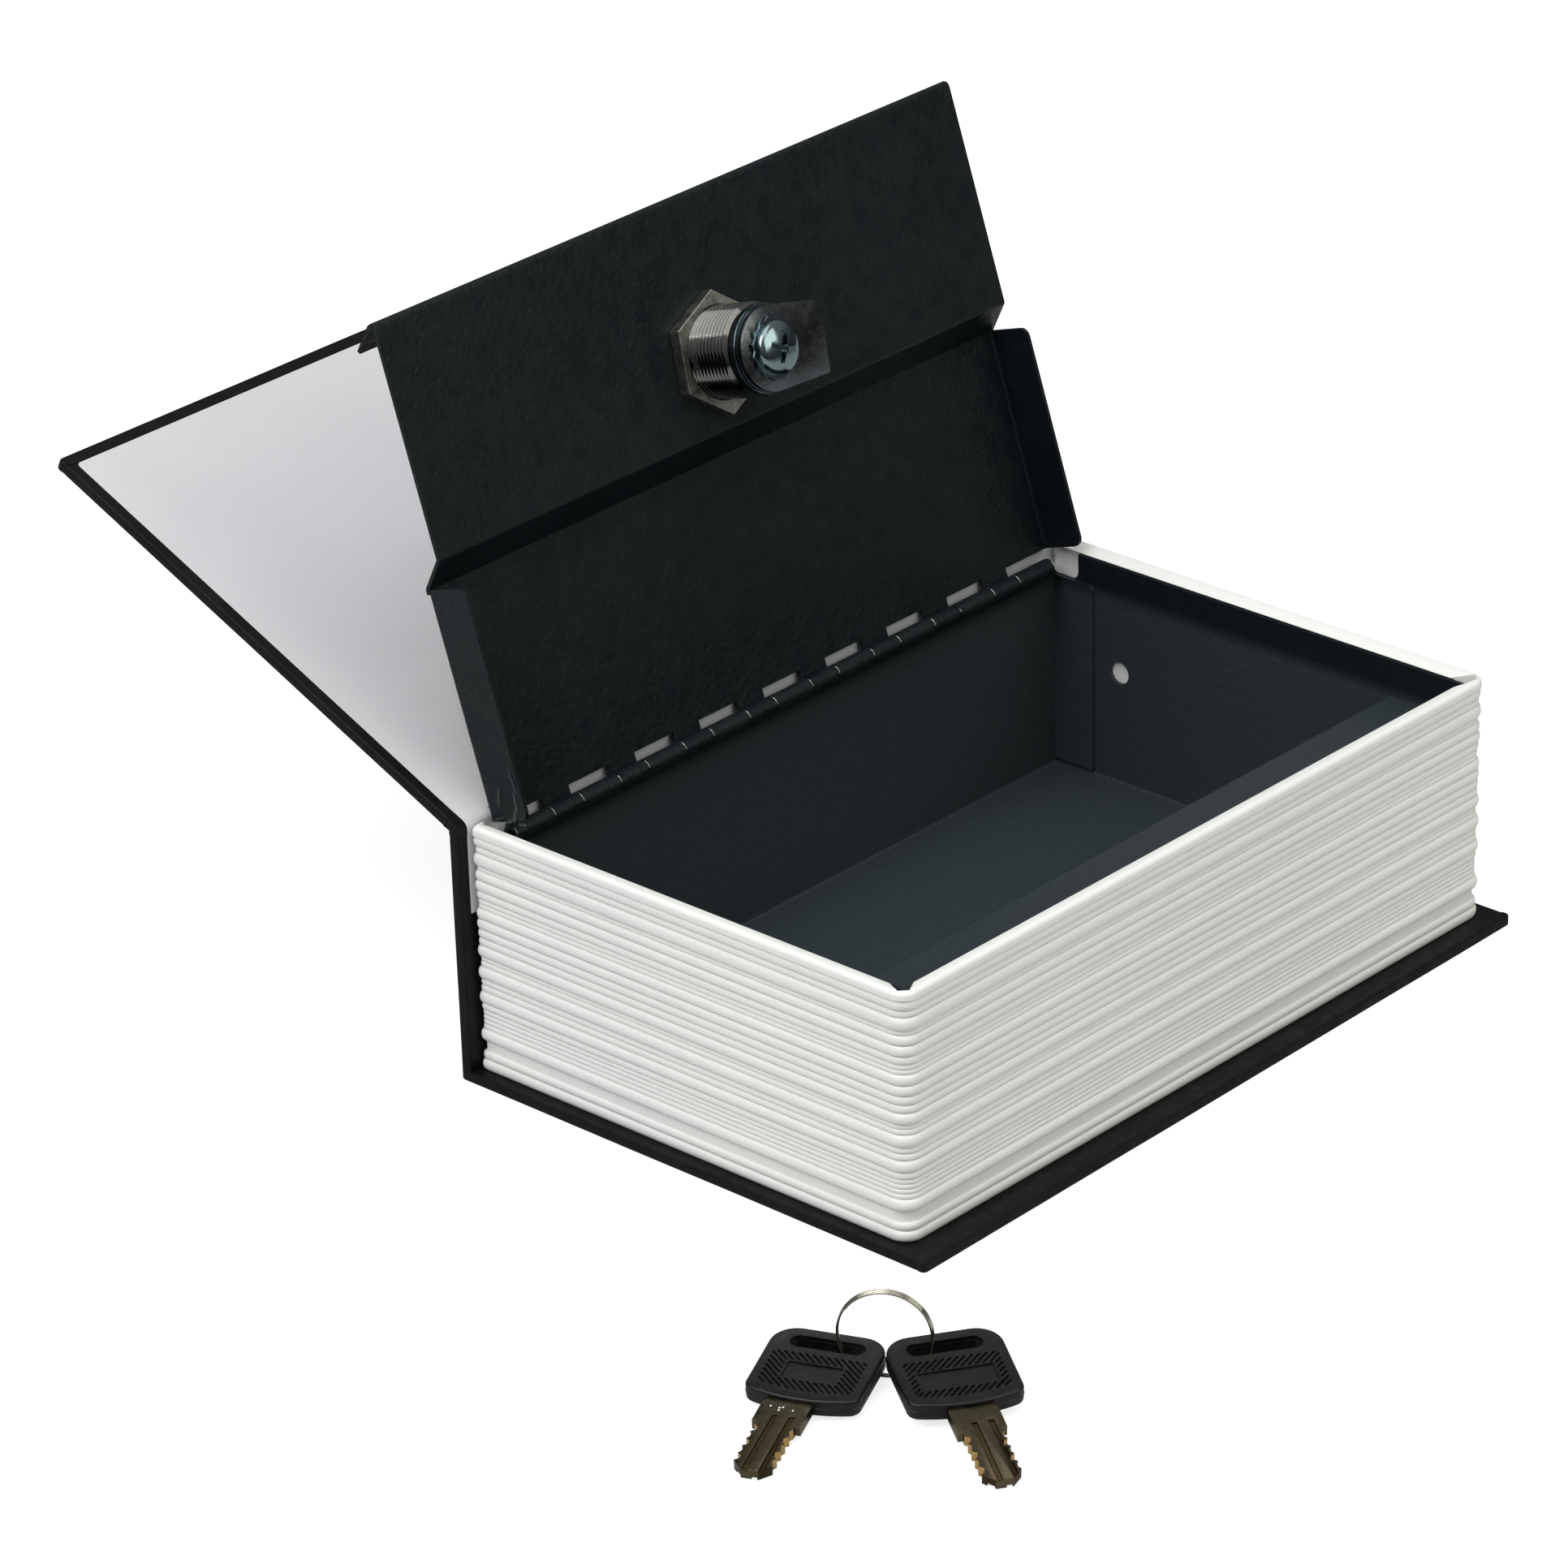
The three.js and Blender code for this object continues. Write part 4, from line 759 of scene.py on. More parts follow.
bm = pulled_along(section, COVER_END - JOINT_SETBACK, JOINT_CUTS, True)
for vert in bm.verts:
    y = vert.co.y * JOINT_CELLS
    vert.co.x += JOINT_WANDER * noise.noise(Vector((1, y, vert.co.z * SECTION_CELLS)))
    vert.co.z += JOINT_WANDER * noise.noise(Vector((9, y, vert.co.x * SECTION_CELLS)))
joint = as_object("joint_cloth_fold", bm, cloth)
finished(joint, None, ["joint_cloth"], sharp=60)
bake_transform(joint)

# %% [markdown]
# One sheet of white paper is pasted inside the cover, runs over the joint, and goes down between
# the spine and the block. Its section is a line, which is pulled along as the joint's was. Then it
# gets its thickness.

# %% The endpaper
PAPER, PAPER_END, PAPER_CORNER = 0.25 * mm, 87.6 * mm, 0.9 * mm
PAPER_MARGIN, GLUE = 2.6, 0.05  # in millimetres, as the section's points are
line = [on_cover(reach, GLUE) for reach in (COVER_REACH / mm - PAPER_MARGIN, 60, 8)]
line += [on_cover(3.2, 0.10), on_cover(1.8, 0.12), (-57.36, 55.07), (-56.73, 54.68)]
line += [(-56.31, 54.21), (-56.07, 53.60), (-56.05, 52.3), (-55.88, 35.6)]
bm = pulled_along(line, PAPER_END, JOINT_CUTS, False)
fore = max(bm.verts, key=lambda vert: vert.co.z).co.copy()
for side in (1, -1):
    round_corner(bm, (fore.x, side * PAPER_END, fore.z), PAPER_CORNER, 5)
bmesh.ops.recalc_face_normals(bm, faces=bm.faces)
bmesh.ops.solidify(bm, geom=bm.faces[:], thickness=PAPER)
sheet = as_object("endpaper_sheet", bm, paper)
finished(sheet, None, ["front_endpaper", "spine_endpaper"], sharp=60)
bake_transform(sheet)
print("endpaper spans", [round(value / mm, 2) for value in sheet.dimensions])

# %% [markdown]
# ## The keys
# Each key is a stamped blade in a moulded head. Both lie tipped forward on the table, held at the
# ring. They are modelled flat about the origin, with X along the blade, and then placed by one
# matrix each. The head starts as a face with a curved front edge, extruded past a thin moulding
# seam. Everything sunk into it is carved: the slot and its step, the blank panel, and the grip
# field, whose grooves run on the diagonal between the panel and an outline that follows the head.
# These cuts are many and close together, so the quick solver for closed meshes makes them.

# %% Sizes of the keys
HEAD_LENGTH, HEAD_SLOT_END, HEAD_BLADE_END = 21.6 * mm, 10.8 * mm, 10.7 * mm
HEAD_ROUND, HEAD_BLADE_ROUND, HEAD_CROWN = 5 * mm, 1.6 * mm, 1.9 * mm
HEAD_THICK, HEAD_BEVEL, HEAD_SEAM, SEAM_SPREAD = 3.3 * mm, 0.5 * mm, 0.12 * mm, 1.008
FRONT_HALF = 4  # steps from the middle of the curved front edge to its end
SLOT_LENGTH, SLOT_WIDTH, SLOT_PLACE = 14.2 * mm, 3.7 * mm, -17.3 * mm
SLOT_STEP, SLOT_DEPTH = 0.35 * mm, 0.7 * mm
PANEL_DEPTH, PANEL_LENGTH = 0.28 * mm, 5 * mm
GRIP_TOP, GRIP_FOOT, GRIP_HALF = -13.6 * mm, -2.7 * mm, 8.7 * mm
STROKE_PITCH, STROKE_WIDTH, STROKE_DEPTH = 1.34 * mm, 0.5 * mm, 0.4 * mm
STROKES, WALK_STEP, WALK_COUNT, SHORTEST, ROUND_SIDES = 20, 0.1 * mm, 180, 0.5 * mm, 12
BLADE_LENGTH, BLADE_THICK = 21.6 * mm, 2 * mm
TANG_LENGTH, TANG_WIDTH, TANG_PLAY, SOCKET_MOUTH = 9 * mm, 8 * mm, 0.05 * mm, 5 * mm
# Where each key lies, and how far its head is off the blade's middle. Then half its panel's
# width, the panel's distance from the front edge, and which way its grooves lean.
KEYS = {
    "left": dict(
        x=74.3, y=-143.7, heading=-67.1, tilt=4.2, shift=1.5, panel=5.15, middle=8.5, lean=1
    ),
    "right": dict(
        x=101.0, y=-125.3, heading=-33.9, tilt=6.3, shift=-0.2, panel=7.0, middle=7.9, lean=-1
    ),
}


def key_place(x, y, heading, tilt, **_):
    """Tips a key forward until the tip of its blade meets the table."""
    tilt = radians(tilt)
    height = BLADE_LENGTH * sin(tilt) + BLADE_THICK / 2 * cos(tilt)
    turn = Matrix.Rotation(radians(heading), 4, "Z") @ Matrix.Rotation(tilt, 4, "Y")
    return Matrix.Translation((x * mm, y * mm, height)) @ turn


# %% The blank of a head
def head_blank(side, shift):
    bm = bmesh.new()
    shares = [step / FRONT_HALF - 1 for step in range(2 * FRONT_HALF + 1)]
    outline = [(-HEAD_CROWN * share**2, share * HEAD_BLADE_END) for share in shares]
    outline += [(-HEAD_LENGTH, HEAD_SLOT_END), (-HEAD_LENGTH, -HEAD_SLOT_END)]
    verts = [bm.verts.new((x, y + shift, -HEAD_THICK / 2)) for x, y in outline]
    bm.faces.new(verts)
    corners = [vert.co.copy() for vert in (verts[-2], verts[-1], verts[0], verts[2 * FRONT_HALF])]
    for corner, radius in zip(corners, [HEAD_ROUND] * 2 + [HEAD_BLADE_ROUND] * 2):
        round_corner(bm, corner, radius)
    face = max(bm.faces, key=lambda one: len(one.verts))
    middle = Matrix.Translation((HEAD_LENGTH / 2, -shift, 0))
    half = HEAD_THICK / 2 - HEAD_SEAM
    seam = ((HEAD_SEAM, SEAM_SPREAD), (HEAD_SEAM, 1 / SEAM_SPREAD))
    for rise, spread in ((half, 1), *seam, (half, 1)):
        (face,) = only(BMFace, bmesh.ops.extrude_face_region(bm, geom=[face])["geom"])
        bmesh.ops.translate(bm, vec=(0, 0, rise), verts=face.verts)
        bmesh.ops.scale(bm, vec=(spread, spread, 1), verts=face.verts, space=middle)
    # An extrusion keeps the face that it starts from, so those left inside are taken out
    outlines = [one for one in bm.faces if len(one.verts) > 4]
    inner = [one for one in outlines if abs(one.calc_center_median().z) < half]
    bmesh.ops.delete(bm, geom=inner, context="FACES_ONLY")
    at_face = HEAD_THICK / 2 - HAIR
    rims = [edge for edge in bm.edges if all(abs(vert.co.z) > at_face for vert in edge.verts)]
    bevelled(bm, rims, HEAD_BEVEL, 4)
    return as_object(f"key_head_{side}_moulding", bm, black_plastic)


# %% What is carved into a head
def add_stadium(bm, middle, length, width, turn, low, high):
    """A bar with round ends, standing from one height to another."""
    circle = bmesh.ops.create_circle(bm, cap_ends=True, segments=ROUND_SIDES, radius=width / 2)
    verts = circle["verts"]
    bmesh.ops.rotate(bm, matrix=Matrix.Rotation(pi / ROUND_SIDES, 3, "Z"), verts=verts)
    for vert in verts:
        vert.co.x += (length - width) / 2 * (1 if vert.co.x > 0 else -1)
    place = Matrix.Translation((*middle, low)) @ Matrix.Rotation(turn, 4, "Z")
    bmesh.ops.transform(bm, matrix=place, verts=verts)
    raised(bm, verts[0].link_faces[0], high - low)


def grip_runs(panel, middle, lean, **_):
    """Walks along each diagonal line, and gives the ends of its grooves in the grip field."""
    step = WALK_STEP / 2**0.5
    panel_length, panel_half = PANEL_LENGTH / 2 + STROKE_WIDTH, panel * mm + STROKE_WIDTH
    for number in range(-STROKES, STROKES + 1):
        start = None
        for count in range(WALK_COUNT):
            a = GRIP_TOP + count * step
            b = number * STROKE_PITCH + lean * count * step
            foot = GRIP_FOOT - HEAD_CROWN * (b / HEAD_BLADE_END) ** 2
            in_field = abs(b) < GRIP_HALF and a < foot
            on_panel = abs(a + middle * mm) < panel_length and abs(b) < panel_half
            if in_field and not on_panel:
                start = start or (a, b)
                last = (a, b)
            elif start:
                yield start, last
                start = None


def grip_tool(key):
    bm = bmesh.new()
    top = HEAD_THICK / 2
    for (a0, b0), (a1, b1) in grip_runs(**key):
        length = ((a1 - a0) ** 2 + (b1 - b0) ** 2) ** 0.5
        if length < SHORTEST:
            continue
        middle = ((a0 + a1) / 2, (b0 + b1) / 2 + key["shift"] * mm)
        size = (length + STROKE_WIDTH, STROKE_WIDTH)
        for low, high in ((top - STROKE_DEPTH, top + mm), (-top - mm, STROKE_DEPTH - top)):
            add_stadium(bm, middle, *size, key["lean"] * pi / 4, low, high)
    return as_object("grip_tool", bm, black_plastic)


def slot_tool(shift, step, low, high):
    bm = bmesh.new()
    middle = (SLOT_PLACE, shift)
    add_stadium(bm, middle, SLOT_LENGTH - step, SLOT_WIDTH - step, pi / 2, low, high)
    return as_object("slot_tool", bm, black_plastic)


# %% The heads
for side, key in KEYS.items():
    shift, top = key["shift"] * mm, HEAD_THICK / 2
    half_panel = key["panel"] * mm
    blank = head_blank(side, shift)
    tools = [grip_tool(key), slot_tool(shift, 2 * SLOT_STEP, -2 * top, 2 * top)]
    for face in (1, -1):
        low, high = sorted((face * (top - SLOT_DEPTH), face * 2 * top))
        tools.append(slot_tool(shift, 0, low, high))
        low, high = sorted((face * (top - PANEL_DEPTH), face * 2 * top))
        panel_start = -key["middle"] * mm - PANEL_LENGTH / 2
        tools.append(
            box_tool(
                "panel_tool",
                (panel_start, shift - half_panel, low),
                (panel_start + PANEL_LENGTH, shift + half_panel, high),
            )
        )
    half_wide, half_thick = TANG_WIDTH / 2 + TANG_PLAY, BLADE_THICK / 2 + TANG_PLAY
    tools.append(
        box_tool(
            "socket_tool",
            (-TANG_LENGTH - TANG_PLAY, -half_wide, -half_thick),
            (SOCKET_MOUTH, half_wide, half_thick),
        )
    )
    carved(blank, *tools, solver="MANIFOLD")
    finished(blank, f"{side}_key", [f"key_head_{side}"], key_place(**key), 35)

# %% [markdown]
# ## The blades
# The CAD blade already has its cuts and grooves. A merged copy of its mesh gets three finishes:
# the plated sides, raw brass where the cuts have gone through the plating, and the dull inside of
# the groove. Which face is which follows from where it lies and where it points, in the key's own
# axes.

# %% The blades
CUTS_START, CUTS_END, CUTS_FOOT = 8.2 * mm, 19.2 * mm, 2 * mm
GROOVE_START, GROOVE_HALF, GROOVE_LEVEL = 4 * mm, 3 * mm, BLADE_THICK / 2 - 0.12 * mm
BLADE_EDGE, BLADE_EDGE_ANGLE = 0.09 * mm, radians(30)
SIDEWAYS, SLANTED, NOT_AN_END = 0.4, 0.2, 0.7  # limits of a normal's Z, X and X


def in_cuts(normal, middle):
    """Whether a face lies on a slope of the key's cuts."""
    slope = abs(normal.z) < SIDEWAYS and abs(normal.x) > SLANTED
    return slope and CUTS_START < middle.x < CUTS_END and abs(middle.y) > CUTS_FOOT


def in_groove(normal, middle):
    """Whether a face lies in the milled groove along the blade."""
    sunk = abs(middle.z) < GROOVE_LEVEL and abs(middle.y) < GROOVE_HALF
    return sunk and middle.x > GROOVE_START and abs(normal.x) < NOT_AN_END


for side, key in KEYS.items():
    place = key_place(**key)
    bm = bmesh.new()
    bm.from_mesh(nodes[f"key_blade_{side}"].data)
    bmesh.ops.remove_doubles(bm, verts=bm.verts, dist=MERGE_REACH)
    bmesh.ops.dissolve_limit(bm, angle_limit=FLAT_ANGLE, verts=bm.verts, edges=bm.edges)
    bmesh.ops.transform(bm, matrix=place.inverted(), verts=bm.verts)
    sharp_edges = [edge for edge in bm.edges if edge.calc_face_angle(0) > BLADE_EDGE_ANGLE]
    bevelled(bm, sharp_edges, BLADE_EDGE, 2, clamp_overlap=True)
    for face in bm.faces:
        middle = face.calc_center_median()
        if in_cuts(face.normal, middle):
            face.material_index = 1
        elif in_groove(face.normal, middle):
            face.material_index = 2
    blade = as_object(f"key_blade_{side}_stamping", bm, key_metal)
    blade.data.materials.append(brass)
    blade.data.materials.append(key_groove)
    finished(blade, f"{side}_key", [f"key_blade_{side}"], place, 30)

# %% [markdown]
# A stamping tool leaves small bright spots on the left key, by its head. Each is a squashed
# sphere, half sunk in the blade.

# %% The stamped marks
MARK_RADIUS, MARK_FLATNESS = 0.3 * mm, 0.5
MARKS = ((2.2, -2.6), (2.4, -0.9), (3.1, -0.8), (2.1, -0.3), (2.7, 1.7))
bm = bmesh.new()
for x, y in MARKS:
    sphere = bmesh.ops.create_uvsphere(bm, u_segments=12, v_segments=6, radius=MARK_RADIUS)
    verts = sphere["verts"]
    bmesh.ops.scale(bm, vec=(1, 1, MARK_FLATNESS), verts=verts)
    bmesh.ops.translate(bm, vec=(x * mm, y * mm, BLADE_THICK / 2), verts=verts)
marks = as_object("key_marks_left", bm, nickel)
finished(marks, "left_key", (), key_place(**KEYS["left"]), 60)

# %% [markdown]
# ## The split ring
# A split ring is one springy wire, wound so that its turns lie on each other. A small circle is
# spun round the ring's axis with a steady rise, which is exactly how the wire is coiled.

# %% The ring
RING_WIRE, RING_RADIUS, RING_TURNS = 0.5 * mm, 8.6 * mm, 2.6
RING_RISE, RING_LIFT, TURN_STEPS = 0.56 * mm, 0.6 * mm, 72
RING_X, RING_Y, RING_HEADING, WIRE_START = 78.3 * mm, -122.4 * mm, radians(122.1), radians(200)
bm = bmesh.new()
verts = bmesh.ops.create_circle(bm, cap_ends=True, segments=12, radius=RING_WIRE / 2)["verts"]
bmesh.ops.rotate(bm, matrix=Matrix.Rotation(pi / 2, 3, "X"), verts=verts)
bmesh.ops.translate(bm, vec=(RING_RADIUS, 0, -RING_RISE * RING_TURNS / 2), verts=verts)
steps = int(TURN_STEPS * RING_TURNS)
bmesh.ops.spin(
    bm,
    geom=bm.verts[:] + bm.edges[:] + bm.faces[:],
    cent=(0, 0, 0),
    axis=(0, 0, 1),
    dvec=(0, 0, RING_RISE * RING_TURNS / steps),
    angle=2 * pi * RING_TURNS,
    steps=steps,
    use_merge=False,
    use_duplicate=False,
)
ring_place = (
    Matrix.Translation((RING_X, RING_Y, RING_RADIUS + RING_LIFT))
    @ Matrix.Rotation(RING_HEADING, 4, "Z")
    @ Matrix.Rotation(-pi / 2, 4, "Y")
    @ Matrix.Rotation(WIRE_START, 4, "Z")
)
ring = as_object("key_ring_wire", bm, ring_steel)
finished(ring, "key_ring", ["key_ring"], ring_place, 60)

# %% [markdown]
# ## The lock
# The lid's lock is turned from bar, so its pieces are spun from profiles. They are modelled with
# the lid closed and lying level, about the lock's own axis, and then swung open with the lid.
# The barrel's thread is a zigzag in its profile. Each of its two flats starts as a bisecting
# plane, which cuts the faces that cross it, and what stands out past the plane is pushed in to it.

# %% Where the lock lies
lid_hinge_place = Vector((-52.7 * mm, 0, 50.2 * mm))
LID_OPEN, LOCK_REACH = radians(108.1), 70.7 * mm
lid_place = Matrix.Translation(lid_hinge_place) @ Matrix.Rotation(-LID_OPEN, 4, "Y")
lock_place = lid_place @ Matrix.Translation((LOCK_REACH, 0, 0))


def spun_profile(profile, steps=64):
    """A closed ring of material, turned about Z from a closed profile of radii and heights."""
    bm = bmesh.new()
    verts = [bm.verts.new((r * mm, 0, z * mm)) for r, z in profile]
    pairs = [(verts[i - 1], verts[i]) for i in range(len(verts))]
    edges = [bm.edges.new(pair) for pair in pairs if max(v.co.x for v in pair) > 0]
    bmesh.ops.spin(
        bm,
        geom=verts + edges,
        cent=(0, 0, 0),
        axis=(0, 0, 1),
        angle=2 * pi,
        steps=steps,
        use_merge=True,
    )
    bmesh.ops.remove_doubles(bm, verts=bm.verts, dist=HAIR)
    return bm


# %% The lock's housing
# The radii and heights of a profile are in millimetres
LID_FACE, BEZEL_TOP, BARREL_END = -3.4, 0.2, -17.8
THREAD_PITCH, THREAD_DEPTH, BARREL_RADIUS, BARREL_FLAT = 0.95, 0.36, 9.3, 8.95 * mm
CREST, FLANK, ROOT = 0.14, 0.33, 0.10  # lengths along one turn of the thread
LEAD_IN, RUN_OUT = 1.7, 2.0  # bare lengths before and after the thread
BORE, COUNTERBORE, FACE_FLOOR, TIP_RADIUS, BEZEL_RADIUS = 6.1, 8.0, -1.3, 8.5, 11.75
thread = []
height = BARREL_END + LEAD_IN
while height < LID_FACE - RUN_OUT:
    thread += [
        (BARREL_RADIUS, height),
        (BARREL_RADIUS, height + CREST),
        (BARREL_RADIUS - THREAD_DEPTH, height + CREST + FLANK),
        (BARREL_RADIUS - THREAD_DEPTH, height + CREST + FLANK + ROOT),
    ]
    height += THREAD_PITCH
tip = [
    (BORE, BARREL_END + 0.15),
    (BORE + 0.15, BARREL_END),
    (TIP_RADIUS - 0.2, BARREL_END),
    (TIP_RADIUS, BARREL_END + 0.2),
    (TIP_RADIUS, BARREL_END + 0.9),
]
bezel = [
    (BEZEL_RADIUS - 0.2, LID_FACE + 0.1),
    (BEZEL_RADIUS, LID_FACE + 0.3),
    (BEZEL_RADIUS, LID_FACE + 0.8),
    (BEZEL_RADIUS - 0.15, LID_FACE + 1.05),
    (COUNTERBORE + 0.75, BEZEL_TOP - 0.2),
    (COUNTERBORE + 0.5, BEZEL_TOP),
    (COUNTERBORE + 0.15, BEZEL_TOP),
    (COUNTERBORE, BEZEL_TOP - 0.15),
]
barrel = thread + [(BARREL_RADIUS, height), (BARREL_RADIUS, LID_FACE + 0.1)]
inside = [(COUNTERBORE, FACE_FLOOR), (BORE, FACE_FLOOR)]
shoulder = (LID_FACE + 0.05) * mm
bm = spun_profile(tip + barrel + bezel + inside, 96)
for side in (1, -1):
    barrel_verts = [vert for vert in bm.verts if vert.co.z < shoulder]
    barrel_edges = {edge for vert in barrel_verts for edge in vert.link_edges}
    barrel_faces = {face for vert in barrel_verts for face in vert.link_faces}
    bmesh.ops.bisect_plane(
        bm,
        geom=barrel_verts + list(barrel_edges) + list(barrel_faces),
        plane_co=(0, side * BARREL_FLAT, 0),
        plane_no=(0, side, 0),
    )
    for vert in bm.verts:
        if vert.co.z < shoulder and side * vert.co.y > BARREL_FLAT:
            vert.co.y = side * BARREL_FLAT
bmesh.ops.remove_doubles(bm, verts=bm.verts, dist=HAIR / 2)
housing = as_object("lock_housing_turned", bm, lock_nickel)
finished(housing, "lid", ["lock_housing"], lock_place, 35)

# %% The cam's screw
SCREW_TOP, SCREW_RADIUS, SCREW_DOME, SCREW_EDGE = -21.8, 5.35, 1.7, 0.5
SHANK_RADIUS, SHANK_LENGTH, DOME_LEVELS = 2.0, 3.2, 10
CROSS_LENGTH, CROSS_WIDTH, CROSS_DEPTH, CROSS_TURN = 10.0, 1.7, 1.15, radians(25)
CROSS_TAPER = (0.45, 0.55, 1)
crown_foot = SCREW_TOP - SCREW_EDGE
turns = [pi / 2 * step / DOME_LEVELS for step in range(DOME_LEVELS + 1)]
dome = [(SCREW_RADIUS * sin(turn), crown_foot - SCREW_DOME * cos(turn)) for turn in turns]
shank_top = SCREW_TOP + SHANK_LENGTH
shank = [(SCREW_RADIUS, SCREW_TOP), (SHANK_RADIUS, SCREW_TOP), (SHANK_RADIUS, shank_top)]
shank += [(0, shank_top)]
screw = as_object("cam_screw_turned", spun_profile(dome + shank, 48), zinc)


def cross_arm(turn):
    """A bar whose foot is shorter and narrower than its mouth, as a driver's tip is."""
    bm = bmesh.new()
    bmesh.ops.create_cube(bm, size=mm)
    bmesh.ops.scale(bm, vec=(CROSS_LENGTH, CROSS_WIDTH, 2 * CROSS_DEPTH), verts=bm.verts)
    inner = [vert for vert in bm.verts if vert.co.z > 0]
    bmesh.ops.scale(bm, vec=CROSS_TAPER, verts=inner)
    bmesh.ops.rotate(bm, matrix=Matrix.Rotation(turn, 3, "Z"), verts=bm.verts)
    foot = (crown_foot - SCREW_DOME) * mm
    bmesh.ops.translate(bm, vec=(0, 0, foot), verts=bm.verts)
    return as_object("cross_arm", bm, zinc)


carved(screw, cross_arm(CROSS_TURN), cross_arm(CROSS_TURN + pi / 2))
finished(screw, "lock_cylinder", ["cam_screw"], lock_place, 30)

# %% [markdown]
# The cam is a stamped plate: a round end about the plug, running out into a flat tongue. A disc
# and a block are set over each other, and a convex hull wraps both in one plate. The plug's square
# tail goes through it. Its thickness is read from the CAD model, so that it keeps its place.

# %% The cam
CAM_ROUND, CAM_REACH, CAM_TIP, TAIL_HOLE = 8.5 * mm, 14.6 * mm, 7.2 * mm, 7.04 * mm
CAM_TURN, CAM_EDGE, TIP_ROUNDS = radians(98), 0.14 * mm, (2.0 * mm, 0.6 * mm)
into_lock = lock_place.inverted()
levels = [(into_lock @ vert.co).z for vert in nodes["lock_cam"].data.vertices]
cam_low, cam_high = min(levels), max(levels)
bm = bmesh.new()
cam_thick = cam_high - cam_low
bmesh.ops.create_cone(
    bm, cap_ends=True, segments=64, radius1=CAM_ROUND, radius2=CAM_ROUND, depth=cam_thick
)
tongue = bmesh.ops.create_cube(bm, size=1)["verts"]
bmesh.ops.scale(bm, vec=(CAM_REACH, 2 * CAM_TIP, cam_thick), verts=tongue)
bmesh.ops.translate(bm, vec=(CAM_REACH / 2, 0, 0), verts=tongue)
bmesh.ops.delete(bm, geom=bm.edges[:], context="EDGES_FACES")
bmesh.ops.convex_hull(bm, input=bm.verts[:])
loose = [vert for vert in bm.verts if not vert.link_faces]
bmesh.ops.delete(bm, geom=loose, context="VERTS")
bmesh.ops.dissolve_limit(bm, angle_limit=FLAT_ANGLE, verts=bm.verts, edges=bm.edges)
tip_x, tip_y = CAM_REACH - 10 * HAIR, CAM_TIP - 10 * HAIR
for side, radius in zip((-1, 1), TIP_ROUNDS):
    at_tip = {vert for vert in bm.verts if vert.co.x > tip_x and side * vert.co.y > tip_y}
    bevelled(bm, [edge for edge in bm.edges if at_tip.issuperset(edge.verts)], radius, 6)
rims = [edge for edge in bm.edges if edge.calc_face_angle(0) > radians(60)]
bevelled(bm, rims, CAM_EDGE, 2)
bmesh.ops.translate(bm, vec=(0, 0, (cam_low + cam_high) / 2), verts=bm.verts)
bmesh.ops.rotate(bm, matrix=Matrix.Rotation(CAM_TURN, 3, "Z"), verts=bm.verts)
half = TAIL_HOLE / 2
hole = box_tool("tail_hole", (-half, -half, cam_low - mm), (half, half, cam_high + mm))
cam = carved(as_object("lock_cam_stamping", bm, cam_zinc), hole)
finished(cam, "lock_cylinder", ["lock_cam"], lock_place, 35)

# %% [markdown]
# ## Wear and runs
# Where two knuckles of the hinge rub, the paint is gone and bare steel shines along their edge: a
# small circle is spun a part of the way round the hinge's axis. Paint that went on too wet has run
# at the foot of the lid's near flange. The runs are squeezed spheres, half sunk in the sheet.

# %% Bare edges on the hinge
KNUCKLE_RADIUS, KNUCKLE_PITCH, KNUCKLE_HALF = 1.85 * mm, 18.5 * mm, 5.35 * mm
KNUCKLES_BESIDE = 4  # on each side of the middle one
WEAR_WIDTH, WEAR_START, WEAR_REACH = 0.13 * mm, radians(22), radians(62)
WEAR_SUNK, WEAR_SPREAD, WEAR_CELLS = 0.35 * WEAR_WIDTH, 0.8, 70
bm = bmesh.new()
for number in range(-KNUCKLES_BESIDE, KNUCKLES_BESIDE + 1):
    for side in (-1, 1):
        end = number * KNUCKLE_PITCH + side * (KNUCKLE_HALF - WEAR_WIDTH / 2)
        share = 1 + WEAR_SPREAD * noise.noise(Vector((end * WEAR_CELLS, 1, 2)))
        circle = bmesh.ops.create_circle(bm, cap_ends=True, segments=8, radius=WEAR_WIDTH / 2)
        spot = circle["verts"]
        bmesh.ops.translate(bm, vec=(KNUCKLE_RADIUS - WEAR_SUNK, end, 0), verts=spot)
        bmesh.ops.rotate(bm, matrix=Matrix.Rotation(-WEAR_START, 3, "Y"), verts=spot)
        bmesh.ops.translate(bm, vec=lid_hinge_place, verts=spot)
        face = spot[0].link_faces[0]
        bmesh.ops.spin(
            bm,
            geom=spot + list(face.edges) + [face],
            cent=lid_hinge_place,
            axis=(0, -1, 0),
            angle=WEAR_REACH * share,
            steps=10,
            use_merge=False,
            use_duplicate=False,
        )
finished(as_object("hinge_bare_edges", bm, nickel), "case", sharp=60)

# %% Runs in the paint
FLANGE_FACE, RUN_THICK = -82 * mm, 0.5
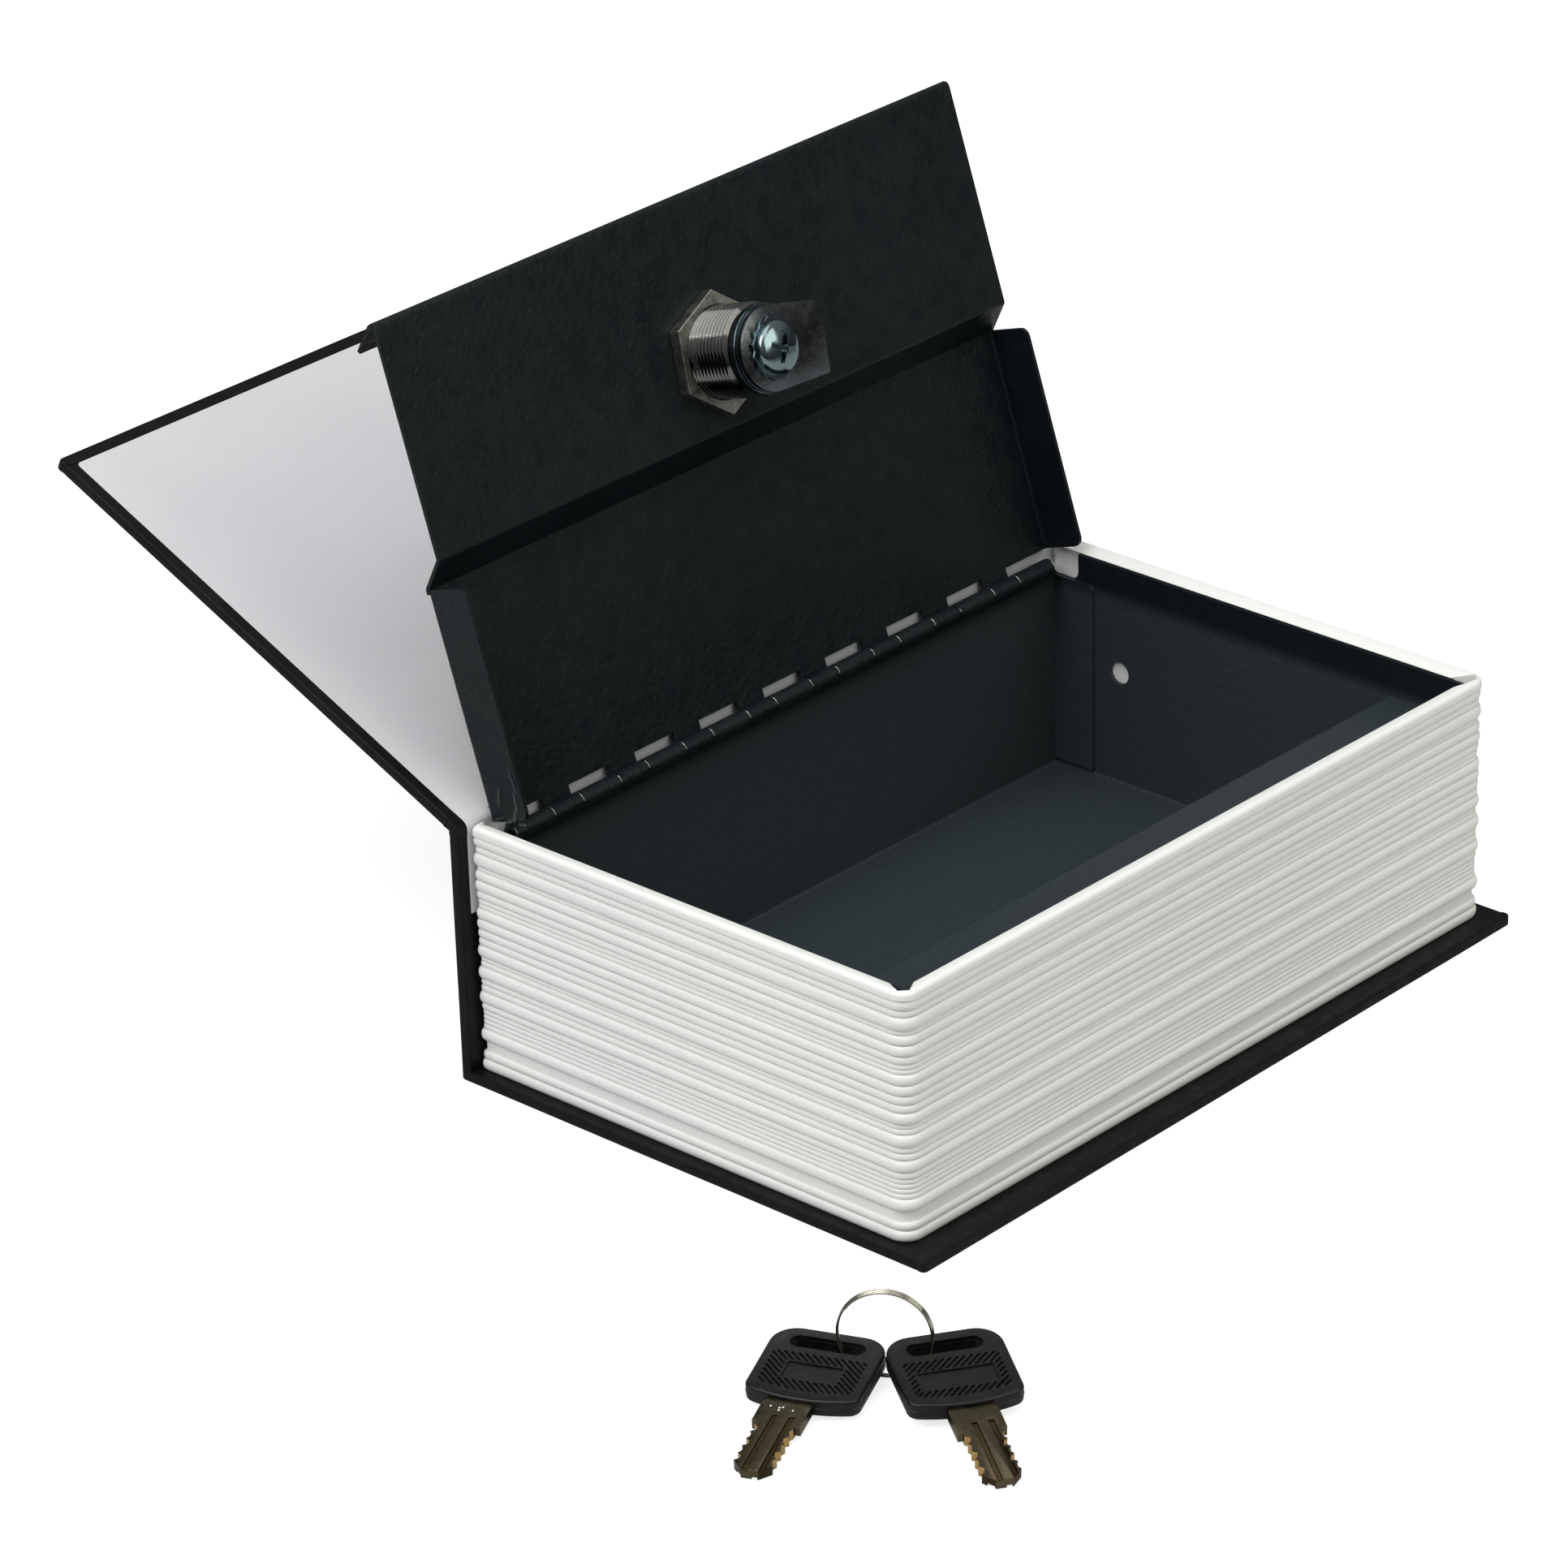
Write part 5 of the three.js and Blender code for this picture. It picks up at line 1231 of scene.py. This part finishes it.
# Each run's place along the flange and across it, its length, its width and its turn
RUNS = (
    (3.2, -3.4, 3.4, 1.2, 60),
    (4.6, -5.6, 4.2, 0.9, 25),
    (7.4, -6.8, 5.2, 0.8, 8),
    (11.5, -7.6, 6.0, 0.7, -4),
    (4.0, -0.8, 2.6, 0.8, 80),
    (8.4, -2.6, 4.6, 0.6, 20),
    (2.8, -7.0, 2.2, 1.0, 100),
)
bm = bmesh.new()
for along, across, length, width, turn in RUNS:
    verts = bmesh.ops.create_uvsphere(bm, u_segments=20, v_segments=12, radius=0.5 * mm)["verts"]
    bmesh.ops.scale(bm, vec=(length, RUN_THICK, width), verts=verts)
    bmesh.ops.rotate(bm, matrix=Matrix.Rotation(radians(turn), 3, "Y"), verts=verts)
    bmesh.ops.translate(bm, vec=(along * mm, FLANGE_FACE, across * mm), verts=verts)
runs = as_object("paint_runs", bm, glossy_coat)
finished(runs, "lid", place=lid_place, sharp=180)

# %% [markdown]
# ## The stage
# The floor and the world are white only to the eye of the camera. To the object they are a plain
# grey, as in a studio whose walls are kept dark, so that metal shows clear lights and darks. The
# floor keeps a soft shadow, because part of what the camera sees of it is still lit by the lamps.


# %% Floor and world
FLOOR_HALF, FLOOR_DROP = 0.9, 0.05 * mm
FLOOR_GREY, SHOWN_GREY, SHOWN_GLOW = (0.52, 0.52, 0.52, 1), (0.45, 0.45, 0.45, 1), 0.78
SKY_BELOW, SKY_ABOVE = 0.06, 0.46
floor_mesh = bpy.data.meshes.new("floor")
bm = bmesh.new()
bmesh.ops.create_grid(bm, x_segments=1, y_segments=1, size=FLOOR_HALF)
bm.to_mesh(floor_mesh)
bm.free()
floor = bpy.data.objects.new("floor", floor_mesh)
bpy.context.scene.collection.objects.link(floor)
floor.location.z = -FLOOR_DROP
floor_white = bpy.data.materials.new("floor_white")
floor_white.use_nodes = True
tree = floor_white.node_tree
tree.nodes.clear()
plain = tree.nodes.new("ShaderNodeBsdfDiffuse")
plain.inputs["Color"].default_value = FLOOR_GREY
part_lit = tree.nodes.new("ShaderNodeBsdfDiffuse")
part_lit.inputs["Color"].default_value = SHOWN_GREY
glow = tree.nodes.new("ShaderNodeEmission")
glow.inputs["Strength"].default_value = SHOWN_GLOW
shown = tree.nodes.new("ShaderNodeAddShader")
tree.links.new(part_lit.outputs[0], shown.inputs[0])
tree.links.new(glow.outputs[0], shown.inputs[1])
choice = tree.nodes.new("ShaderNodeMixShader")
path = tree.nodes.new("ShaderNodeLightPath")
tree.links.new(path.outputs["Is Camera Ray"], choice.inputs[0])
tree.links.new(plain.outputs[0], choice.inputs[1])
tree.links.new(shown.outputs[0], choice.inputs[2])
output = tree.nodes.new("ShaderNodeOutputMaterial")
tree.links.new(choice.outputs[0], output.inputs["Surface"])
floor_mesh.materials.append(floor_white)

world = bpy.data.worlds.new("studio")
bpy.context.scene.world = world
world.use_nodes = True
tree = world.node_tree
sky = tree.nodes["Background"]
sky.inputs["Color"].default_value = (1, 1, 1, 1)
direction = tree.nodes.new("ShaderNodeTexCoord")
height = tree.nodes.new("ShaderNodeSeparateXYZ")
tree.links.new(direction.outputs["Generated"], height.inputs["Vector"])
overhead = tree.nodes.new("ShaderNodeMapRange")
overhead.inputs["To Min"].default_value = SKY_BELOW
overhead.inputs["To Max"].default_value = SKY_ABOVE
tree.links.new(height.outputs["Z"], overhead.inputs["Value"])
path = tree.nodes.new("ShaderNodeLightPath")
level_of_light = tree.nodes.new("ShaderNodeMapRange")
tree.links.new(overhead.outputs["Result"], level_of_light.inputs["To Min"])
level_of_light.inputs["To Max"].default_value = 1.0
tree.links.new(path.outputs["Is Camera Ray"], level_of_light.inputs["Value"])
tree.links.new(level_of_light.outputs["Result"], sky.inputs["Strength"])
print("the stage is set")


# %% Lamps
AIM_HEIGHT = 40 * mm


def softbox(name, turn, height, distance, size, watts, color=(1, 1, 1)):
    lamp_data = bpy.data.lights.new(name, "AREA")
    lamp_data.shape = "RECTANGLE"
    lamp_data.color = color
    lamp_data.size, lamp_data.size_y = size
    lamp_data.energy = watts
    lamp = bpy.data.objects.new(name, lamp_data)
    turn, height = radians(turn), radians(height)
    toward = Vector((sin(turn) * cos(height), -cos(turn) * cos(height), sin(height)))
    lamp.location = toward * distance + Vector((0, 0, AIM_HEIGHT))
    lamp.rotation_euler = toward.to_track_quat("Z", "Y").to_euler()
    bpy.context.scene.collection.objects.link(lamp)
    return lamp


softbox("key_softbox", -6, 48, 1.5, (1.2, 0.9), 15.4)
softbox("side_softbox", 105, 35, 1.6, (1.2, 0.9), 7.6, (0.97, 1.0, 0.87))
softbox("top_softbox", 60, 80, 1.6, (1.4, 1.4), 9.2)
print("lamps:", len(bpy.data.lights))
